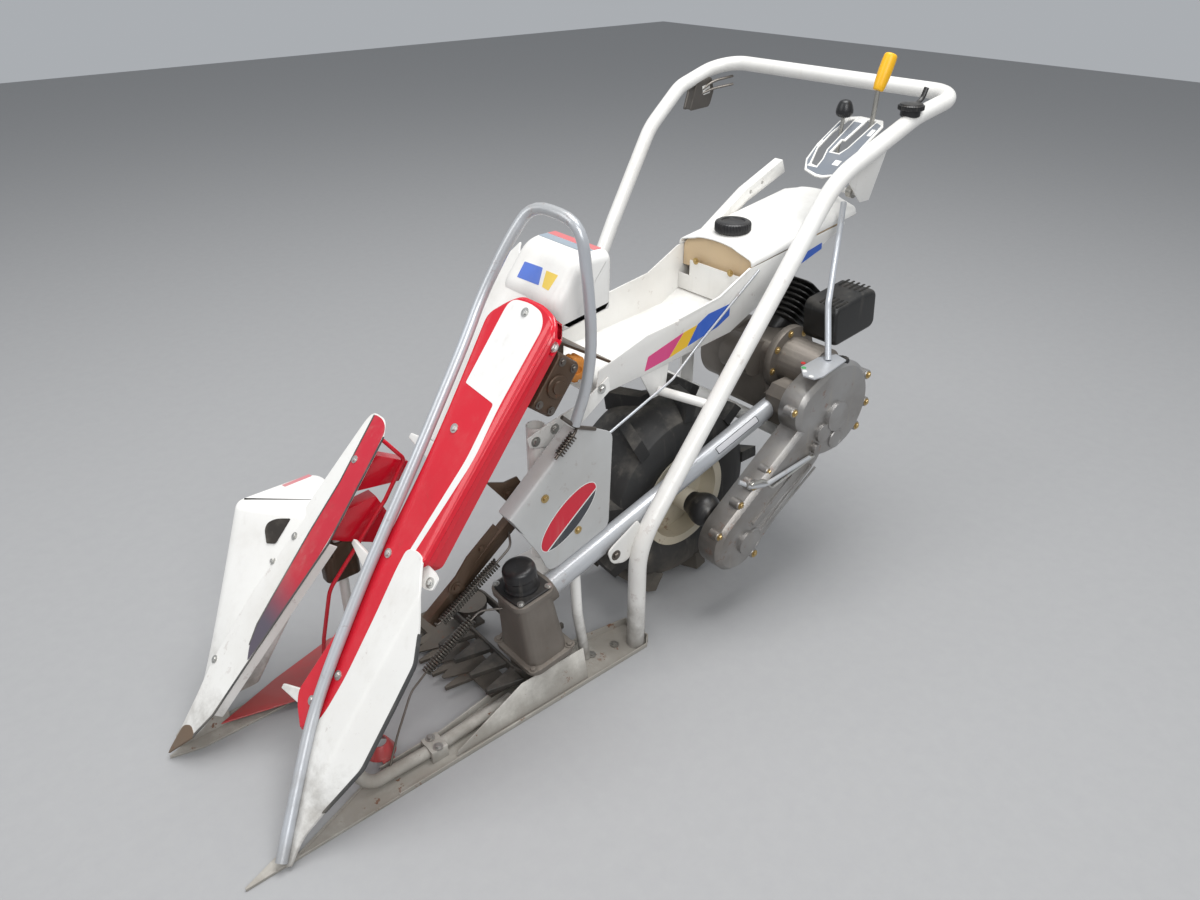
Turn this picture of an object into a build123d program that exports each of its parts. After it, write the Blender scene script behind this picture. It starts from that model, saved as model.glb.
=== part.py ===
from math import atan2, cos, degrees, hypot, radians, sin, tan
import os

from build123d import *

# Walk-behind one-row reaper binder. Millimetres, +X forward, +Y to its left, +Z up.
# The origin is on the ground at the middle of the machine's box.

# Driving dimensions
fit = 0.3                    # gap between pieces that are bolted or plugged together
sheet = 3.0                  # pressed steel and moulded panels
far = 3000.0                 # side of a face that only cuts
tip_x = 990.0                # front end of both divider tips
tail_x = -990.0              # rear of the handle's crosspiece
left_y = 408.0               # outer edge of the left skid
right_tip_y = 49.0           # the right tip
axle_x = -115.0
axle_z = 240.0               # also the radius over the lugs
wheel_y = 203.0
tyre_width = 190.0
lug_height = 24.0
rim_radius = 118.0
tube_r = 19.0                # handle and frame tube
drive_r = 22.0               # tube round the front drive shaft
drive_y = 334.0
case_slope = 51.5            # the lifting case leans back, degrees from level
divider_slope = 46.6         # the right divider
case_depth = 60.0
crank = (-436.0, 490.0)      # crankshaft, X and Z
body_y = (38.0, 258.0)       # side walls of the tray under the tank
body_mid_y = sum(body_y) / 2


def slope_plane(x, y, z, slope):
    """A plane that leans back: its x runs up the slope, its y to the machine's right."""
    c, s = cos(radians(slope)), sin(radians(slope))
    return Plane(origin=(x, y, z), x_dir=(-c, 0, s), z_dir=(s, 0, c))


def plate(plane, outline, thick):
    """A flat plate from its outline on a plane."""
    with BuildPart() as made:
        with BuildSketch(plane):
            with BuildLine():
                Polyline(*outline, close=True)
            make_face()
        extrude(amount=thick)
    return made.part


def bent_bar(points, radius, bends, wall=0.0):
    """A round bar or tube along straight runs joined by arcs."""
    with BuildPart() as made:
        with BuildLine() as path:
            if len(points) > 2:
                FilletPolyline(*points, radius=bends)
            else:
                Line(*points)
        with BuildSketch(Plane(origin=path.line @ 0, z_dir=path.line % 0)):
            Circle(radius)
            if wall:
                Circle(radius - wall, mode=Mode.SUBTRACT)
        sweep()
    return made.part


def square_bar(start, end, across, deep):
    """A straight bar of rectangular section; across is measured along Y."""
    line = Vector(*end) - Vector(*start)
    with BuildPart() as made:
        with BuildSketch(Plane(origin=start, x_dir=(0, 1, 0), z_dir=line)):
            Rectangle(across, deep)
        extrude(amount=line.length)
    return made.part


def side_plane(y):
    """Drawing plane seen from the machine's left: its x is X reversed, its y is Z."""
    return Plane(origin=(0, y, 0), x_dir=(-1, 0, 0), z_dir=(0, 1, 0))


def side_points(*points):
    """X, Z pairs turned to the side plane's own axes."""
    return [(-x, z) for x, z in points]


nodes = {}


def keep(name, part):
    part.label = name
    nodes[name] = part


# Left skid: a tapered sheet channel, flat on the ground, with a low outer rim and a thick tip
skid_rim = 20.0
rim_end_x = 706.0             # forward of here the channel's rims are low
skid_rear_x = 84.0
nose_x = tip_x - 92
skid_outline = [(nose_x, left_y - 8), (nose_x, left_y), (skid_rear_x + 14, left_y),
                (skid_rear_x, left_y - 12), (skid_rear_x, 322), (210, 302), (414, 312), (575, 335), (735, 338)]
with BuildPart() as left_skid:
    with BuildSketch():
        with BuildLine():
            Polyline(*skid_outline, close=True)
        make_face()
    extrude(amount=skid_rim)
    with BuildSketch(Plane.XY.offset(sheet)) as hollow:
        with BuildLine():
            Polyline(*skid_outline, close=True)
        make_face()
        offset(amount=-sheet, mode=Mode.REPLACE)
    extrude(amount=skid_rim, mode=Mode.SUBTRACT)
    with BuildSketch(Plane.XY.offset(skid_rim / 2)):
        with Locations(((tip_x + skid_rear_x) / 2, left_y)):
            Rectangle(tip_x - skid_rear_x + 100, 2.5 * sheet)
    extrude(amount=skid_rim, mode=Mode.SUBTRACT)
    with BuildSketch(Plane.XY.offset(2 * sheet)):
        with Locations((rim_end_x + 200, left_y - 60)):
            Rectangle(400, 140)
    extrude(amount=skid_rim, mode=Mode.SUBTRACT)
    with BuildSketch(Plane.XY):
        with BuildLine():
            Polyline((tip_x, left_y), (tip_x, left_y - 4), (tip_x - 60, left_y - 26), (nose_x - 2, left_y - 22),
                     (nose_x - 2, left_y), close=True)
        make_face()
    extrude(amount=2 * sheet)
keep("left_skid", left_skid.part)

# Guard plate that stands on the skid and leans inward
guard_lean = 12.0
guard = Plane(origin=(256, left_y - 4 * sheet, sheet), x_dir=(1, 0, 0),
              z_dir=(0, -cos(radians(guard_lean)), -sin(radians(guard_lean))))
keep("skid_guard", plate(guard, [(0, 0), (0, 72), (156, 72), (318, 10), (322, 0)], -2.5))

# Front tube: clamped in the skid, it bends under the lifting case
front_tube_r = 12.5
front_tube_z = sheet + front_tube_r + fit
front_tube_x = 760.0
clamp_x = 604.0
clamp_len = 34.0
with BuildPart() as tube_clamp:
    with BuildSketch(Plane.YZ.offset(clamp_x)):
        with Locations((363, sheet + 14)):
            Rectangle(42, 28)
    extrude(amount=clamp_len / 2, both=True)
    add(bent_bar([(clamp_x - 60, 360.4, front_tube_z), (clamp_x - 4, 362, front_tube_z),
                  (clamp_x + 60, 363.6, front_tube_z + 1)], front_tube_r + 2.2, [60]), mode=Mode.SUBTRACT)

# Lifting case: its own leaning plane, x up the slope, y to the machine's right
case = slope_plane(915, left_y, 15, case_slope)
case_top = 1014.0
cover_low = 540.0
cover_outline = [(cover_low, 60), (979, 34), (1005, 52), (case_top, 145), (1005, 167),
                 (960, 207), (cover_low, 186)]
strip_outline = [(161, 130), (208, 99), (294, 93), (411, 95), (497, 102), (cover_low - 2, 66),
                 (cover_low - 2, 186), (376, 175), (208, 186), (185, 168)]
shell_depth = 26.0


def case_shell(outline, depth):
    """A shallow tray open at the back."""
    with BuildPart() as made:
        with BuildSketch(case.offset(-depth)):
            with BuildLine():
                Polyline(*outline, close=True)
            make_face()
        extrude(amount=depth)
        with BuildSketch(case.offset(-depth)):
            with BuildLine():
                Polyline(*outline, close=True)
            make_face()
            offset(amount=-sheet, mode=Mode.REPLACE)
        extrude(amount=depth - sheet, mode=Mode.SUBTRACT)
    return made.part


with BuildPart() as red_covers:
    add(case_shell(cover_outline, shell_depth))
    add(case_shell(strip_outline, shell_depth))
keep("red_covers", red_covers.part)

# Back pan of the case, closed at the left side; the fingers leave by the slit on its right
pan_front = -shell_depth - fit
slit = 16.0
pan_outline = [(120, 66), (cover_low, 62), (979, 36), (1003, 54), (case_top - 2, 145), (1003, 165),
               (958, 205), (cover_low, 184), (376, 173), (208, 184), (140, 150)]
with BuildPart() as case_pan:
    with BuildSketch(case.offset(-case_depth)):
        with BuildLine():
            Polyline(*pan_outline, close=True)
        make_face()
    extrude(amount=case_depth + pan_front - slit)
    with BuildSketch(case.offset(-case_depth + sheet)):
        with BuildLine():
            Polyline(*pan_outline, close=True)
        make_face()
        offset(amount=-sheet, mode=Mode.REPLACE)
    extrude(amount=case_depth, mode=Mode.SUBTRACT)
    with BuildSketch(case.offset(-case_depth)):
        with BuildLine():
            Polyline((120, 66), (cover_low, 62), (979, 36), (979, 36 + sheet),
                     (cover_low, 62 + sheet), (120, 66 + sheet), close=True)
        make_face()
    extrude(amount=case_depth + pan_front)
keep("case_pan", case_pan.part)

# Lifting chain, one loop on two sprockets, with its fingers
chain_mid = 120.0
chain_low, chain_high = 190.0, 930.0
chain_r = 30.0
chain_band = 5.0
chain_depth = 10.0
chain_off = -shell_depth - slit / 2 - chain_depth / 2 - 1
fingers = (  # place up the case, reach of the tip beyond the chain's edge, sweep down
    (194, 108, 27), (453, 124, -16), (698, 100, 2))
with BuildPart() as finger_chain:
    with BuildSketch(case.offset(chain_off)):
        with Locations(((chain_low + chain_high) / 2, chain_mid)):
            SlotCenterToCenter(chain_high - chain_low, 2 * chain_r)
            SlotCenterToCenter(chain_high - chain_low, 2 * (chain_r - chain_band), mode=Mode.SUBTRACT)
    extrude(amount=chain_depth)
    for place, reach, sweep_down in fingers:
        root = chain_mid + chain_r - chain_band
        edge = 178 + 20 * (place > 600)
        with BuildSketch(case.offset(chain_off)):
            with BuildLine():
                Polyline((place - 20, root), (place + 20, root), (place + 16, edge),
                         (place - sweep_down + 5, edge + reach - 18),
                         (place - sweep_down - 5, edge + reach - 18), (place - 20, edge), close=True)
            make_face()
        extrude(amount=chain_depth)
keep("finger_chain", finger_chain.part)

with BuildPart() as chain_sprockets:
    for place in (chain_low, chain_high):
        with BuildSketch(case.offset(-case_depth + sheet)):
            with Locations((place, chain_mid)):
                Circle(chain_r - chain_band - fit)
        extrude(amount=chain_off + chain_depth + case_depth - sheet)
keep("chain_sprockets", chain_sprockets.part)

# Front tube again: its end lies across the back of the pan and carries it
tube_seat = -case_depth - front_tube_r - fit
tube_ends = [tuple(case.from_local_coords((168, across, tube_seat))) for across in (90, 140)]
with BuildPart() as front_tube:
    add(bent_bar([(420, 352, front_tube_z), (front_tube_x - 160, 362, front_tube_z),
                  (front_tube_x - 8, 364, front_tube_z + 6)] + tube_ends, front_tube_r, [60, 34, 30]))
    add(tube_clamp.part)
keep("front_tube", front_tube.part)

# White nose blade, folded along a crease: the face, and the wing that turns back
blade_top = cover_low - 3
blade_face = [(blade_top, 20), (blade_top, 52), (490, 96), (411, 91), (294, 89), (208, 95), (161, 126),
              (118, 100), (60, 30), (-14, -4), (-4, -14), (89, 22), (308, 24), (492, 20)]
wing_fold = 42.0
with BuildPart() as nose_blade:
    with BuildSketch(case.offset(-sheet)):
        with BuildLine():
            Polyline(*blade_face, close=True)
        make_face()
    extrude(amount=sheet)
    wing = Plane(origin=case.from_local_coords((0, 24, -sheet)), x_dir=case.x_dir,
                 z_dir=case.z_dir.rotate(Axis((0, 0, 0), case.x_dir), wing_fold))
    with BuildSketch(wing):
        with BuildLine():
            Polyline((-2, 0), (492, 0), (blade_top, 0), (436, -34), (386, -50), (186, -56), (40, -22), close=True)
        make_face()
    extrude(amount=sheet)
keep("nose_blade", nose_blade.part)

# Guide pipe: lies along the case from the tip and loops back over its top
pipe_r = 10.0
pipe_on_case = [(-6, 0), (201, 92), (405, 118), (658, 131), (990, 176)]
pipe_loop = [(268, 200, 866), (213, 205, 944), (206, 330, 937), (186, 334, 741), (200, 336, 640), (228, 331, 564)]
pipe_points = [tuple(case.from_local_coords((along, across, pipe_r + fit))) for along, across in pipe_on_case]
keep("guide_pipe", bent_bar(pipe_points + pipe_loop, pipe_r, [60, 90, 90, 90, 60, 50, 50, 120, 60], 2))

# Right skid and its tip
right_skid_y = (24.0, 64.0)
divider_rise = tan(radians(divider_slope))
right_skid_h = 20.0
with BuildPart() as right_skid:
    with BuildSketch(Plane.XY):
        with BuildLine():
            Polyline((tip_x, right_tip_y), (tip_x, right_tip_y - 4), (930, right_skid_y[0]),
                     (300, right_skid_y[0]), (300, right_skid_y[1]), (930, right_skid_y[1]), close=True)
        make_face()
    extrude(amount=5)
    with BuildSketch(Plane.XY):
        with Locations(((900 + 300) / 2, right_skid_y[0] + sheet / 2)):
            Rectangle(600, sheet)
    extrude(amount=right_skid_h)
    with BuildSketch(side_plane(32)):
        with BuildLine():
            Polyline(*side_points((968, 4), (868, 4), (868, 10 + (tip_x - 868) * divider_rise - 2 * fit),
                                  (968, 10 + (tip_x - 968) * divider_rise - 2 * fit)), close=True)
        make_face()
    extrude(amount=4)
keep("right_skid", right_skid.part)

# Right divider: a narrow leaning panel with a folded inner edge
divider = slope_plane(tip_x, right_tip_y, 10, divider_slope)
divider_outline = [(2, 4), (67, -39), (121, -52), (269, -60), (505, -76), (723, -49), (752, -23),
                   (751, 15), (733, 22), (651, 26), (437, 14), (182, 26)]
with BuildPart() as right_divider:
    with BuildSketch(divider):
        with BuildLine():
            Polyline(*divider_outline, close=True)
        make_face()
    extrude(amount=sheet)
    with BuildSketch(divider):
        with BuildLine():
            Polyline((121, -52), (269, -60), (505, -76), (505, -76 + sheet), (269, -60 + sheet),
                     (121, -52 + sheet), close=True)
        make_face()
    extrude(amount=-18)
keep("right_divider", right_divider.part)

# Moulded cover outside the divider, open below, with the gap at its shoulder
cover_top_z, cover_low_z = 392.0, 60.0
cover_inner_y = 30.0


def divider_x(z):
    """Where the divider's back face is at a height."""
    return tip_x - (z - 10) / tan(radians(divider_slope)) - 1


cover_top = [(737, -114), (548, -114), (548, cover_inner_y), (divider_x(cover_top_z), cover_inner_y)]
cover_foot = [(892, -24), (790, -24), (790, cover_inner_y), (divider_x(cover_low_z), cover_inner_y)]


def divider_cover_form(inset):
    with BuildPart() as made:
        for height, outline in ((cover_low_z - inset, cover_foot), (cover_top_z - inset, cover_top)):
            with BuildSketch(Plane.XY.offset(height)):
                with BuildLine():
                    Polyline(*outline, close=True)
                make_face()
                if inset:
                    offset(amount=-inset, mode=Mode.REPLACE)
        loft()
    return made.part


with BuildPart() as divider_cover:
    add(divider_cover_form(0))
    add(divider_cover_form(sheet), mode=Mode.SUBTRACT)
    with BuildSketch(divider.offset(-fit)):
        with Locations((400, -74)):
            Rectangle(900, 200)
    extrude(amount=100, mode=Mode.SUBTRACT)
    with BuildSketch(divider.offset(-60)):
        with BuildLine():
            Polyline((428, 120), (520, 54), (434, 72), close=True)
        make_face()
    extrude(amount=60, mode=Mode.SUBTRACT)
keep("divider_cover", divider_cover.part)

# Red floor plate between the right skid and the knife
deck_z = right_skid_h + fit
keep("red_deck", plate(Plane(origin=(0, 0, deck_z), x_dir=(1, 0, 0), z_dir=(0, 0, 1)),
                       [(890, 48), (742, 88), (520, 88), (520, -20), (620, -40), (760, 0)], sheet))

# Thin guide rod beside the row
rod_r = 4.0
row_rod = bent_bar([(496, 94, 528), (458, 95, 474), (509, 95, 402), (648, 95, 255), (674, 86, 142),
                    (680, 78, 90), (680, 78, deck_z + sheet + fit)], rod_r, [14, 20, 60, 40, 40])

# Stay from the right skid up to the divider's back
with BuildPart() as divider_stay:
    add(bent_bar([(600, 44, 5 + fit), (600, 50, 240), (600, 64, 440)], 10, [300]))
    with BuildSketch(divider.offset(-fit)):
        Rectangle(far, far)
    extrude(amount=200, mode=Mode.SUBTRACT)
    with BuildSketch(Plane.XY.offset(deck_z + sheet + fit)):
        Rectangle(far, far)
    extrude(amount=-60, mode=Mode.SUBTRACT)
stay_room = bent_bar([(600, 44, 5), (600, 50, 240), (600, 65.4, 460)], 10 + fit, [300])

# Red folded brackets behind the divider, the guide rod, and the red ring on the left skid
red_brackets = (  # place across, outline in X, Z
    (50, [(544.2, 481.1), (582, 438), (468, 421), (443, 456), (505, 492)]),
    (50, [(639, 380), (620.4, 400), (578, 403), (520, 408), (502, 365), (539, 307), (600, 338), (650, 369)]))
with BuildPart() as red_guides:
    for y, outline in red_brackets:
        with BuildSketch(side_plane(y)):
            with BuildLine():
                Polyline(*side_points(*outline), close=True)
            make_face()
        extrude(amount=30)
        with BuildSketch(side_plane(y)):
            with BuildLine():
                Polyline(*side_points(*outline), close=True)
            make_face()
            offset(amount=-sheet, mode=Mode.REPLACE)
        extrude(amount=30 - sheet, mode=Mode.SUBTRACT)
    add(stay_room, mode=Mode.SUBTRACT)
    add(row_rod)
    with Locations(Location((686, 304, skid_rim + fit + 12))):
        Cone(30, 17, 24)
        Cone(27, 14, 24, mode=Mode.SUBTRACT)
    with BuildSketch(Plane.XY.offset(skid_rim + fit)):
        with Locations((686, 330)):
            Rectangle(24, 16)
    extrude(amount=sheet)
keep("red_guides", red_guides.part)

# Greasy feed casting round the divider's stay
with BuildPart() as right_gear:
    with BuildSketch(Plane.XY.offset(246)):
        with Locations((602, 52)):
            RectangleRounded(72, 40, 14)
    extrude(amount=58)
    with BuildSketch(side_plane(34)):
        with Locations((-596, 306)):
            Circle(26)
    extrude(amount=38)
    add(stay_room, mode=Mode.SUBTRACT)
    add(red_guides.part, mode=Mode.SUBTRACT)
keep("right_gear", right_gear.part)

# Knife bed across the row, with its fixed guards
bed_x = (400.0, 452.0)
bed_y = (right_skid_y[0], 330.0)
bed_z = right_skid_h + fit
bed_t = 8.0
guard_pitch = 50.0
guard_count = 4
with BuildPart() as knife_bed:
    with BuildSketch(Plane.XY.offset(bed_z)):
        with Locations((sum(bed_x) / 2, sum(bed_y) / 2)):
            Rectangle(bed_x[1] - bed_x[0], bed_y[1] - bed_y[0])
        for k in range(guard_count):
            y = sum(bed_y) / 2 + (k - (guard_count - 1) / 2) * guard_pitch
            with BuildLine():
                Polyline((bed_x[1] - 1, y - 14), (bed_x[1] + 58, y - 3), (bed_x[1] + 58, y + 3),
                         (bed_x[1] - 1, y + 14), close=True)
            make_face()
        with Locations(((bed_x[0] + 335) / 2, 110)):
            Rectangle(bed_x[0] - 335 + 2, 50)
    extrude(amount=bed_t)
keep("knife_bed", knife_bed.part)

with BuildPart() as knife:
    with BuildSketch(Plane.XY.offset(bed_z + bed_t + fit)):
        with Locations((bed_x[1] - 14, sum(bed_y) / 2)):
            Rectangle(20, 150)
        for k in range(3):
            y = sum(bed_y) / 2 + (k - 1) * guard_pitch
            with BuildLine():
                Polyline((bed_x[1] - 5, y - 24), (bed_x[1] + 48, y - 4), (bed_x[1] + 48, y + 4),
                         (bed_x[1] - 5, y + 24), close=True)
            make_face()
    extrude(amount=3)
keep("knife", knife.part)

# Front bevel gearbox: tapered casting on a leaning axis, with a dome cap
gear_lean = 8.0
gear_base = (342.0, drive_y, 97.0)
lean_c, lean_s = cos(radians(gear_lean)), sin(radians(gear_lean))
gear_axis = Plane(origin=gear_base, x_dir=(lean_c, 0, -lean_s), z_dir=(lean_s, 0, lean_c))
gear_top = 165.0
drive_front = (300.0, drive_y, 229.0)
drive_rear = (-340.0, drive_y, 415.7)
drive_dir = Vector(*drive_front) - Vector(*drive_rear)
gear_sections = (  # from height, to height, along and across at the low end, then at the high end
    (0, 12, 112, 138, 112, 138), (12, 90, 92, 120, 84, 110), (90, 153, 84, 110, 80, 100),
    (153, gear_top, 96, 104, 96, 104))
with BuildPart() as bevel_gearbox:
    for z0, z1, a0, b0, a1, b1 in gear_sections:
        with BuildSketch(gear_axis.offset(z0)):
            RectangleRounded(a0, b0, 24)
        with BuildSketch(gear_axis.offset(z1)):
            RectangleRounded(a1, b1, 24)
        loft()
    with BuildSketch(Plane(origin=drive_front, z_dir=drive_dir)):
        Circle(drive_r + 7)
    extrude(amount=34)
keep("bevel_gearbox", bevel_gearbox.part)

cap_r = 33.0
cap_height = 56.0
with BuildPart() as bevel_cap:
    with BuildSketch(Plane(origin=gear_axis.origin, x_dir=gear_axis.x_dir, z_dir=-gear_axis.y_dir)):
        with BuildLine():
            Polyline((0, gear_top), (cap_r + 9, gear_top), (cap_r + 9, gear_top + 5), (cap_r, gear_top + 5),
                     (cap_r, gear_top + cap_height - 18))
            RadiusArc((cap_r, gear_top + cap_height - 18), (cap_r - 18, gear_top + cap_height), -18)
            Polyline((cap_r - 18, gear_top + cap_height), (0, gear_top + cap_height), (0, gear_top))
        make_face()
    revolve(axis=Axis(gear_axis.origin, gear_axis.z_dir))
keep("bevel_cap", bevel_cap.part)

# Lugged belt: one fixed loop round a pulley below the gearbox and an idler on the knife bed
belt_ends = ((357.0, drive_y), (355.0, 110.0))
belt_low, belt_high = 58.0, 80.0
belt_r = 39.0
belt_t = 6.0
lug_pitch = 57.0
lug_rows = ((294.0, 1), (294.0 - lug_pitch, 1), (294.0 + lug_pitch, 1), (294.0 - 2 * lug_pitch, 1),
            (294.0, -1), (294.0 - lug_pitch, -1), (294.0 - 2 * lug_pitch, -1))   # place along Y, side of the loop
with BuildPart() as lug_belt:
    with BuildSketch(Plane.XY.offset(belt_low)):
        for grow in (belt_t, 0):
            with BuildLine():
                Polyline((belt_ends[0][0] + belt_r + grow, belt_ends[0][1]),
                         (belt_ends[1][0] + belt_r + grow, belt_ends[1][1]))
                ThreePointArc((belt_ends[1][0] + belt_r + grow, belt_ends[1][1]),
                              (belt_ends[1][0], belt_ends[1][1] - belt_r - grow),
                              (belt_ends[1][0] - belt_r - grow, belt_ends[1][1]))
                Line((belt_ends[1][0] - belt_r - grow, belt_ends[1][1]),
                     (belt_ends[0][0] - belt_r - grow, belt_ends[0][1]))
                ThreePointArc((belt_ends[0][0] - belt_r - grow, belt_ends[0][1]),
                              (belt_ends[0][0], belt_ends[0][1] + belt_r + grow),
                              (belt_ends[0][0] + belt_r + grow, belt_ends[0][1]))
            make_face(mode=Mode.ADD if grow else Mode.SUBTRACT)
    extrude(amount=belt_high - belt_low)
    for place, side in lug_rows:
        root = belt_ends[0][0] + side * (belt_r + belt_t - 1)
        with BuildSketch(Plane.XY.offset(belt_low + 3)):
            with BuildLine():
                Polyline((root, place - 22), (root + side * 74, place - 4), (root + side * 74, place + 4),
                         (root, place + 22), close=True)
            make_face()
        extrude(amount=12)
keep("lug_belt", lug_belt.part)

# Pulleys inside the belt: the drum hangs below the gearbox, the idler stands on the knife bed
with BuildPart() as belt_pulleys:
    with BuildSketch(Plane.XY.offset(belt_low + 2)):
        with Locations(*belt_ends):
            Circle(belt_r - fit)
    extrude(amount=belt_high - belt_low - 4)
    with BuildSketch(Plane.XY.offset(belt_high - 3)):
        with Locations(belt_ends[0]):
            Circle(26)
    extrude(amount=40)
    with BuildSketch(gear_axis.offset(-fit)):
        Rectangle(400, 400)
    extrude(amount=200, mode=Mode.SUBTRACT)
    with BuildSketch(Plane.XY.offset(28.3 + fit)):
        with Locations(belt_ends[1]):
            Circle(12)
    extrude(amount=belt_low - 26)
keep("belt_pulleys", belt_pulleys.part)

# Drive tube between the gearboxes
keep("drive_tube", bent_bar([drive_rear, drive_front], drive_r, 0, 4))

# Strut from the drive tube down to the skid
strut_r = 11.0


def drive_z(x):
    """Height of the drive tube's middle at a place along the machine."""
    return drive_front[2] + (drive_front[0] - x) * (drive_rear[2] - drive_front[2]) / (drive_front[0] - drive_rear[0])


strut_x = 236.0
with BuildPart() as skid_strut:
    add(bent_bar([(strut_x, drive_y, drive_z(strut_x) - drive_r + 4), (strut_x, drive_y + 6, 130),
                  (strut_x - 14, drive_y + 14, sheet)], strut_r, [80]))
    add(bent_bar([drive_rear, drive_front], drive_r + fit, 0), mode=Mode.SUBTRACT)
    with BuildSketch(Plane.XY.offset(sheet)):
        Rectangle(far, far)
    extrude(amount=-20, mode=Mode.SUBTRACT)
keep("skid_strut", skid_strut.part)

# Side panel above the drive tube, its upper front edge folded over
panel_y = 326.0
panel_clear = (drive_r + fit) / cos(atan2(drive_rear[2] - drive_front[2], drive_front[0] - drive_rear[0]))
panel_points = [(384, 423), (224, 552), (196, 548), (130, 514), (142, drive_z(142) + panel_clear),
                (296, drive_z(296) + panel_clear), (316, 304), (352, 366)]
with BuildPart() as side_panel:
    with BuildSketch(side_plane(panel_y)):
        with BuildLine():
            Polyline(*side_points(*panel_points), close=True)
        make_face()
    extrude(amount=sheet)
    with BuildSketch(side_plane(panel_y - 28)):
        with BuildLine():
            Polyline(*side_points((384, 423), (224, 552), (222, 549.5), (382, 420.5)), close=True)
        make_face()
    extrude(amount=28 + sheet)
keep("side_panel", side_panel.part)

# Handle frame: one bent tube from the left skid over the handle and down the right side
handle_top = 1008.0
cross_tube = (-372.0, 340.0)
cross_tube_r = 17.0
handle_points = [
    (110, 384, sheet + fit), (110, 384, 262), (-500, 318, 890), (-790, 306, 982), (tail_x + tube_r, 298, handle_top),
    (tail_x + tube_r, -451, handle_top), (-790, -446, 955), (-668, -434, 862), (-505, -400, 640),
    (cross_tube[0], -376, 430), (cross_tube[0], -376, 316)]
keep("handle_frame", bent_bar(handle_points, tube_r,
                              [150, 260, 300, 74, 84, 120, 200, 200, 150], 2.6))

# Cross tube behind the wheel carries the engine and the handle's right end
with BuildPart() as cross_member:
    with BuildSketch(Plane.XZ.offset(376 - tube_r - fit)):
        with Locations(cross_tube):
            Circle(cross_tube_r)
            Circle(cross_tube_r - sheet, mode=Mode.SUBTRACT)
    extrude(amount=-(376 - tube_r - fit + 398))
keep("cross_tube", cross_member.part)

# Tray under the tank: two side walls on a floor
tray_bottom = [(116, 554), (-37, 565), (-269, 587), (-458, 672), (-568, 719)]
tray_top = [(-640, 752), (-640, 760), (-316, 719), (-224, 674), (-109, 657), (-20, 649), (108, 610)]
tray_wall = 2.5
with BuildPart() as body_tray:
    with BuildSketch(side_plane(body_y[0])):
        with BuildLine():
            Polyline(*side_points(*(tray_bottom + tray_top)), close=True)
        make_face()
    extrude(amount=body_y[1] - body_y[0])
    with BuildSketch(side_plane(body_y[0] + tray_wall)):
        with BuildLine():
            Polyline(*side_points(*([(x, z + tray_wall) for x, z in tray_bottom]
                                    + [(-700, 775), (-700, 900), (200, 900), (200, 558)])), close=True)
        make_face()
    extrude(amount=body_y[1] - body_y[0] - 2 * tray_wall, mode=Mode.SUBTRACT)
keep("body_tray", body_tray.part)
tray_room = plate(side_plane(body_y[0]), side_points(*([(x, z + tray_wall + fit) for x, z in tray_bottom]
                                                       + [(-700, 500), (200, 500)])), body_y[1] - body_y[0])

# Tank cover: a moulded hood with a crowned top, open in front, and the tank under it
hood_front, hood_rear = -323.0, -690.0
hood_sections = (  # X, height of the skirt's foot, of the shoulder, of the crown
    (hood_front, 722, 738, 752), (hood_rear, 772, 792, 806))


def hood_form(inset, foot_drop):
    with BuildPart() as made:
        for x, foot, shoulder, crown in hood_sections:
            half = (body_y[1] - body_y[0]) / 2 - inset
            with BuildSketch(Plane(origin=(x, body_mid_y, 0), x_dir=(0, 1, 0), z_dir=(1, 0, 0))):
                with BuildLine():
                    Polyline((-half + 12, shoulder - inset), (-half, shoulder - inset - 12), (-half, foot - foot_drop),
                             (half, foot - foot_drop), (half, shoulder - inset - 12), (half - 12, shoulder - inset))
                    ThreePointArc((half - 12, shoulder - inset), (0, crown - inset), (-half + 12, shoulder - inset))
                make_face()
        loft()
    return made.part


cap_place = (-385.0, 142.0)
filler_r = 30.0
tank_cap_r = 41.0
cap_seat = 763.0
with BuildPart() as tank_cover:
    add(hood_form(0, 0))
    add(hood_form(sheet, 10), mode=Mode.SUBTRACT)
    with BuildSketch(side_plane(body_y[0] - 10)):
        with BuildLine():
            Polyline(*side_points(*([(x, z + fit) for x, z in tray_top if x < -200] + [(-200, 500), (-720, 640)])),
                     close=True)
        make_face()
    extrude(amount=300, mode=Mode.SUBTRACT)
    with Locations(Location((cap_place[0], cap_place[1], 740))):
        Cylinder(filler_r + fit, 200, mode=Mode.SUBTRACT)
    with Locations(Location((cap_place[0], cap_place[1], cap_seat + 50 - fit))):
        Cylinder(tank_cap_r + fit, 100, mode=Mode.SUBTRACT)
keep("tank_cover", tank_cover.part)

tank_inset = sheet + 2
with BuildPart() as fuel_tank:
    add(hood_form(tank_inset, 120))
    with BuildSketch(side_plane(body_y[0] + tray_wall + fit)):
        with BuildLine():
            Polyline(*side_points((-334, 672), (-334, 850), (-670, 850), (-670, 776), (-458, 678), (-440, 672)),
                     close=True)
        make_face()
    extrude(amount=body_y[1] - body_y[0] - 2 * (tray_wall + fit), mode=Mode.INTERSECT)
    with Locations(Location((cap_place[0], cap_place[1], cap_seat - fit - 25))):
        Cylinder(filler_r, 50)
    add(hood_form(tank_inset + sheet, 120).intersect(
        plate(side_plane(body_y[0] + tray_wall + fit + sheet),
              side_points((-334 - sheet, 674 + sheet), (-334 - sheet, 850), (-670 + sheet, 850),
                          (-670 + sheet, 778 + sheet), (-458, 680 + sheet), (-440, 674 + sheet)),
              body_y[1] - body_y[0] - 2 * (tray_wall + fit + sheet))), mode=Mode.SUBTRACT)
    with Locations(Location((cap_place[0], cap_place[1], cap_seat - fit - 25))):
        Cylinder(filler_r - sheet, 60, mode=Mode.SUBTRACT)
keep("fuel_tank", fuel_tank.part)

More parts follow.
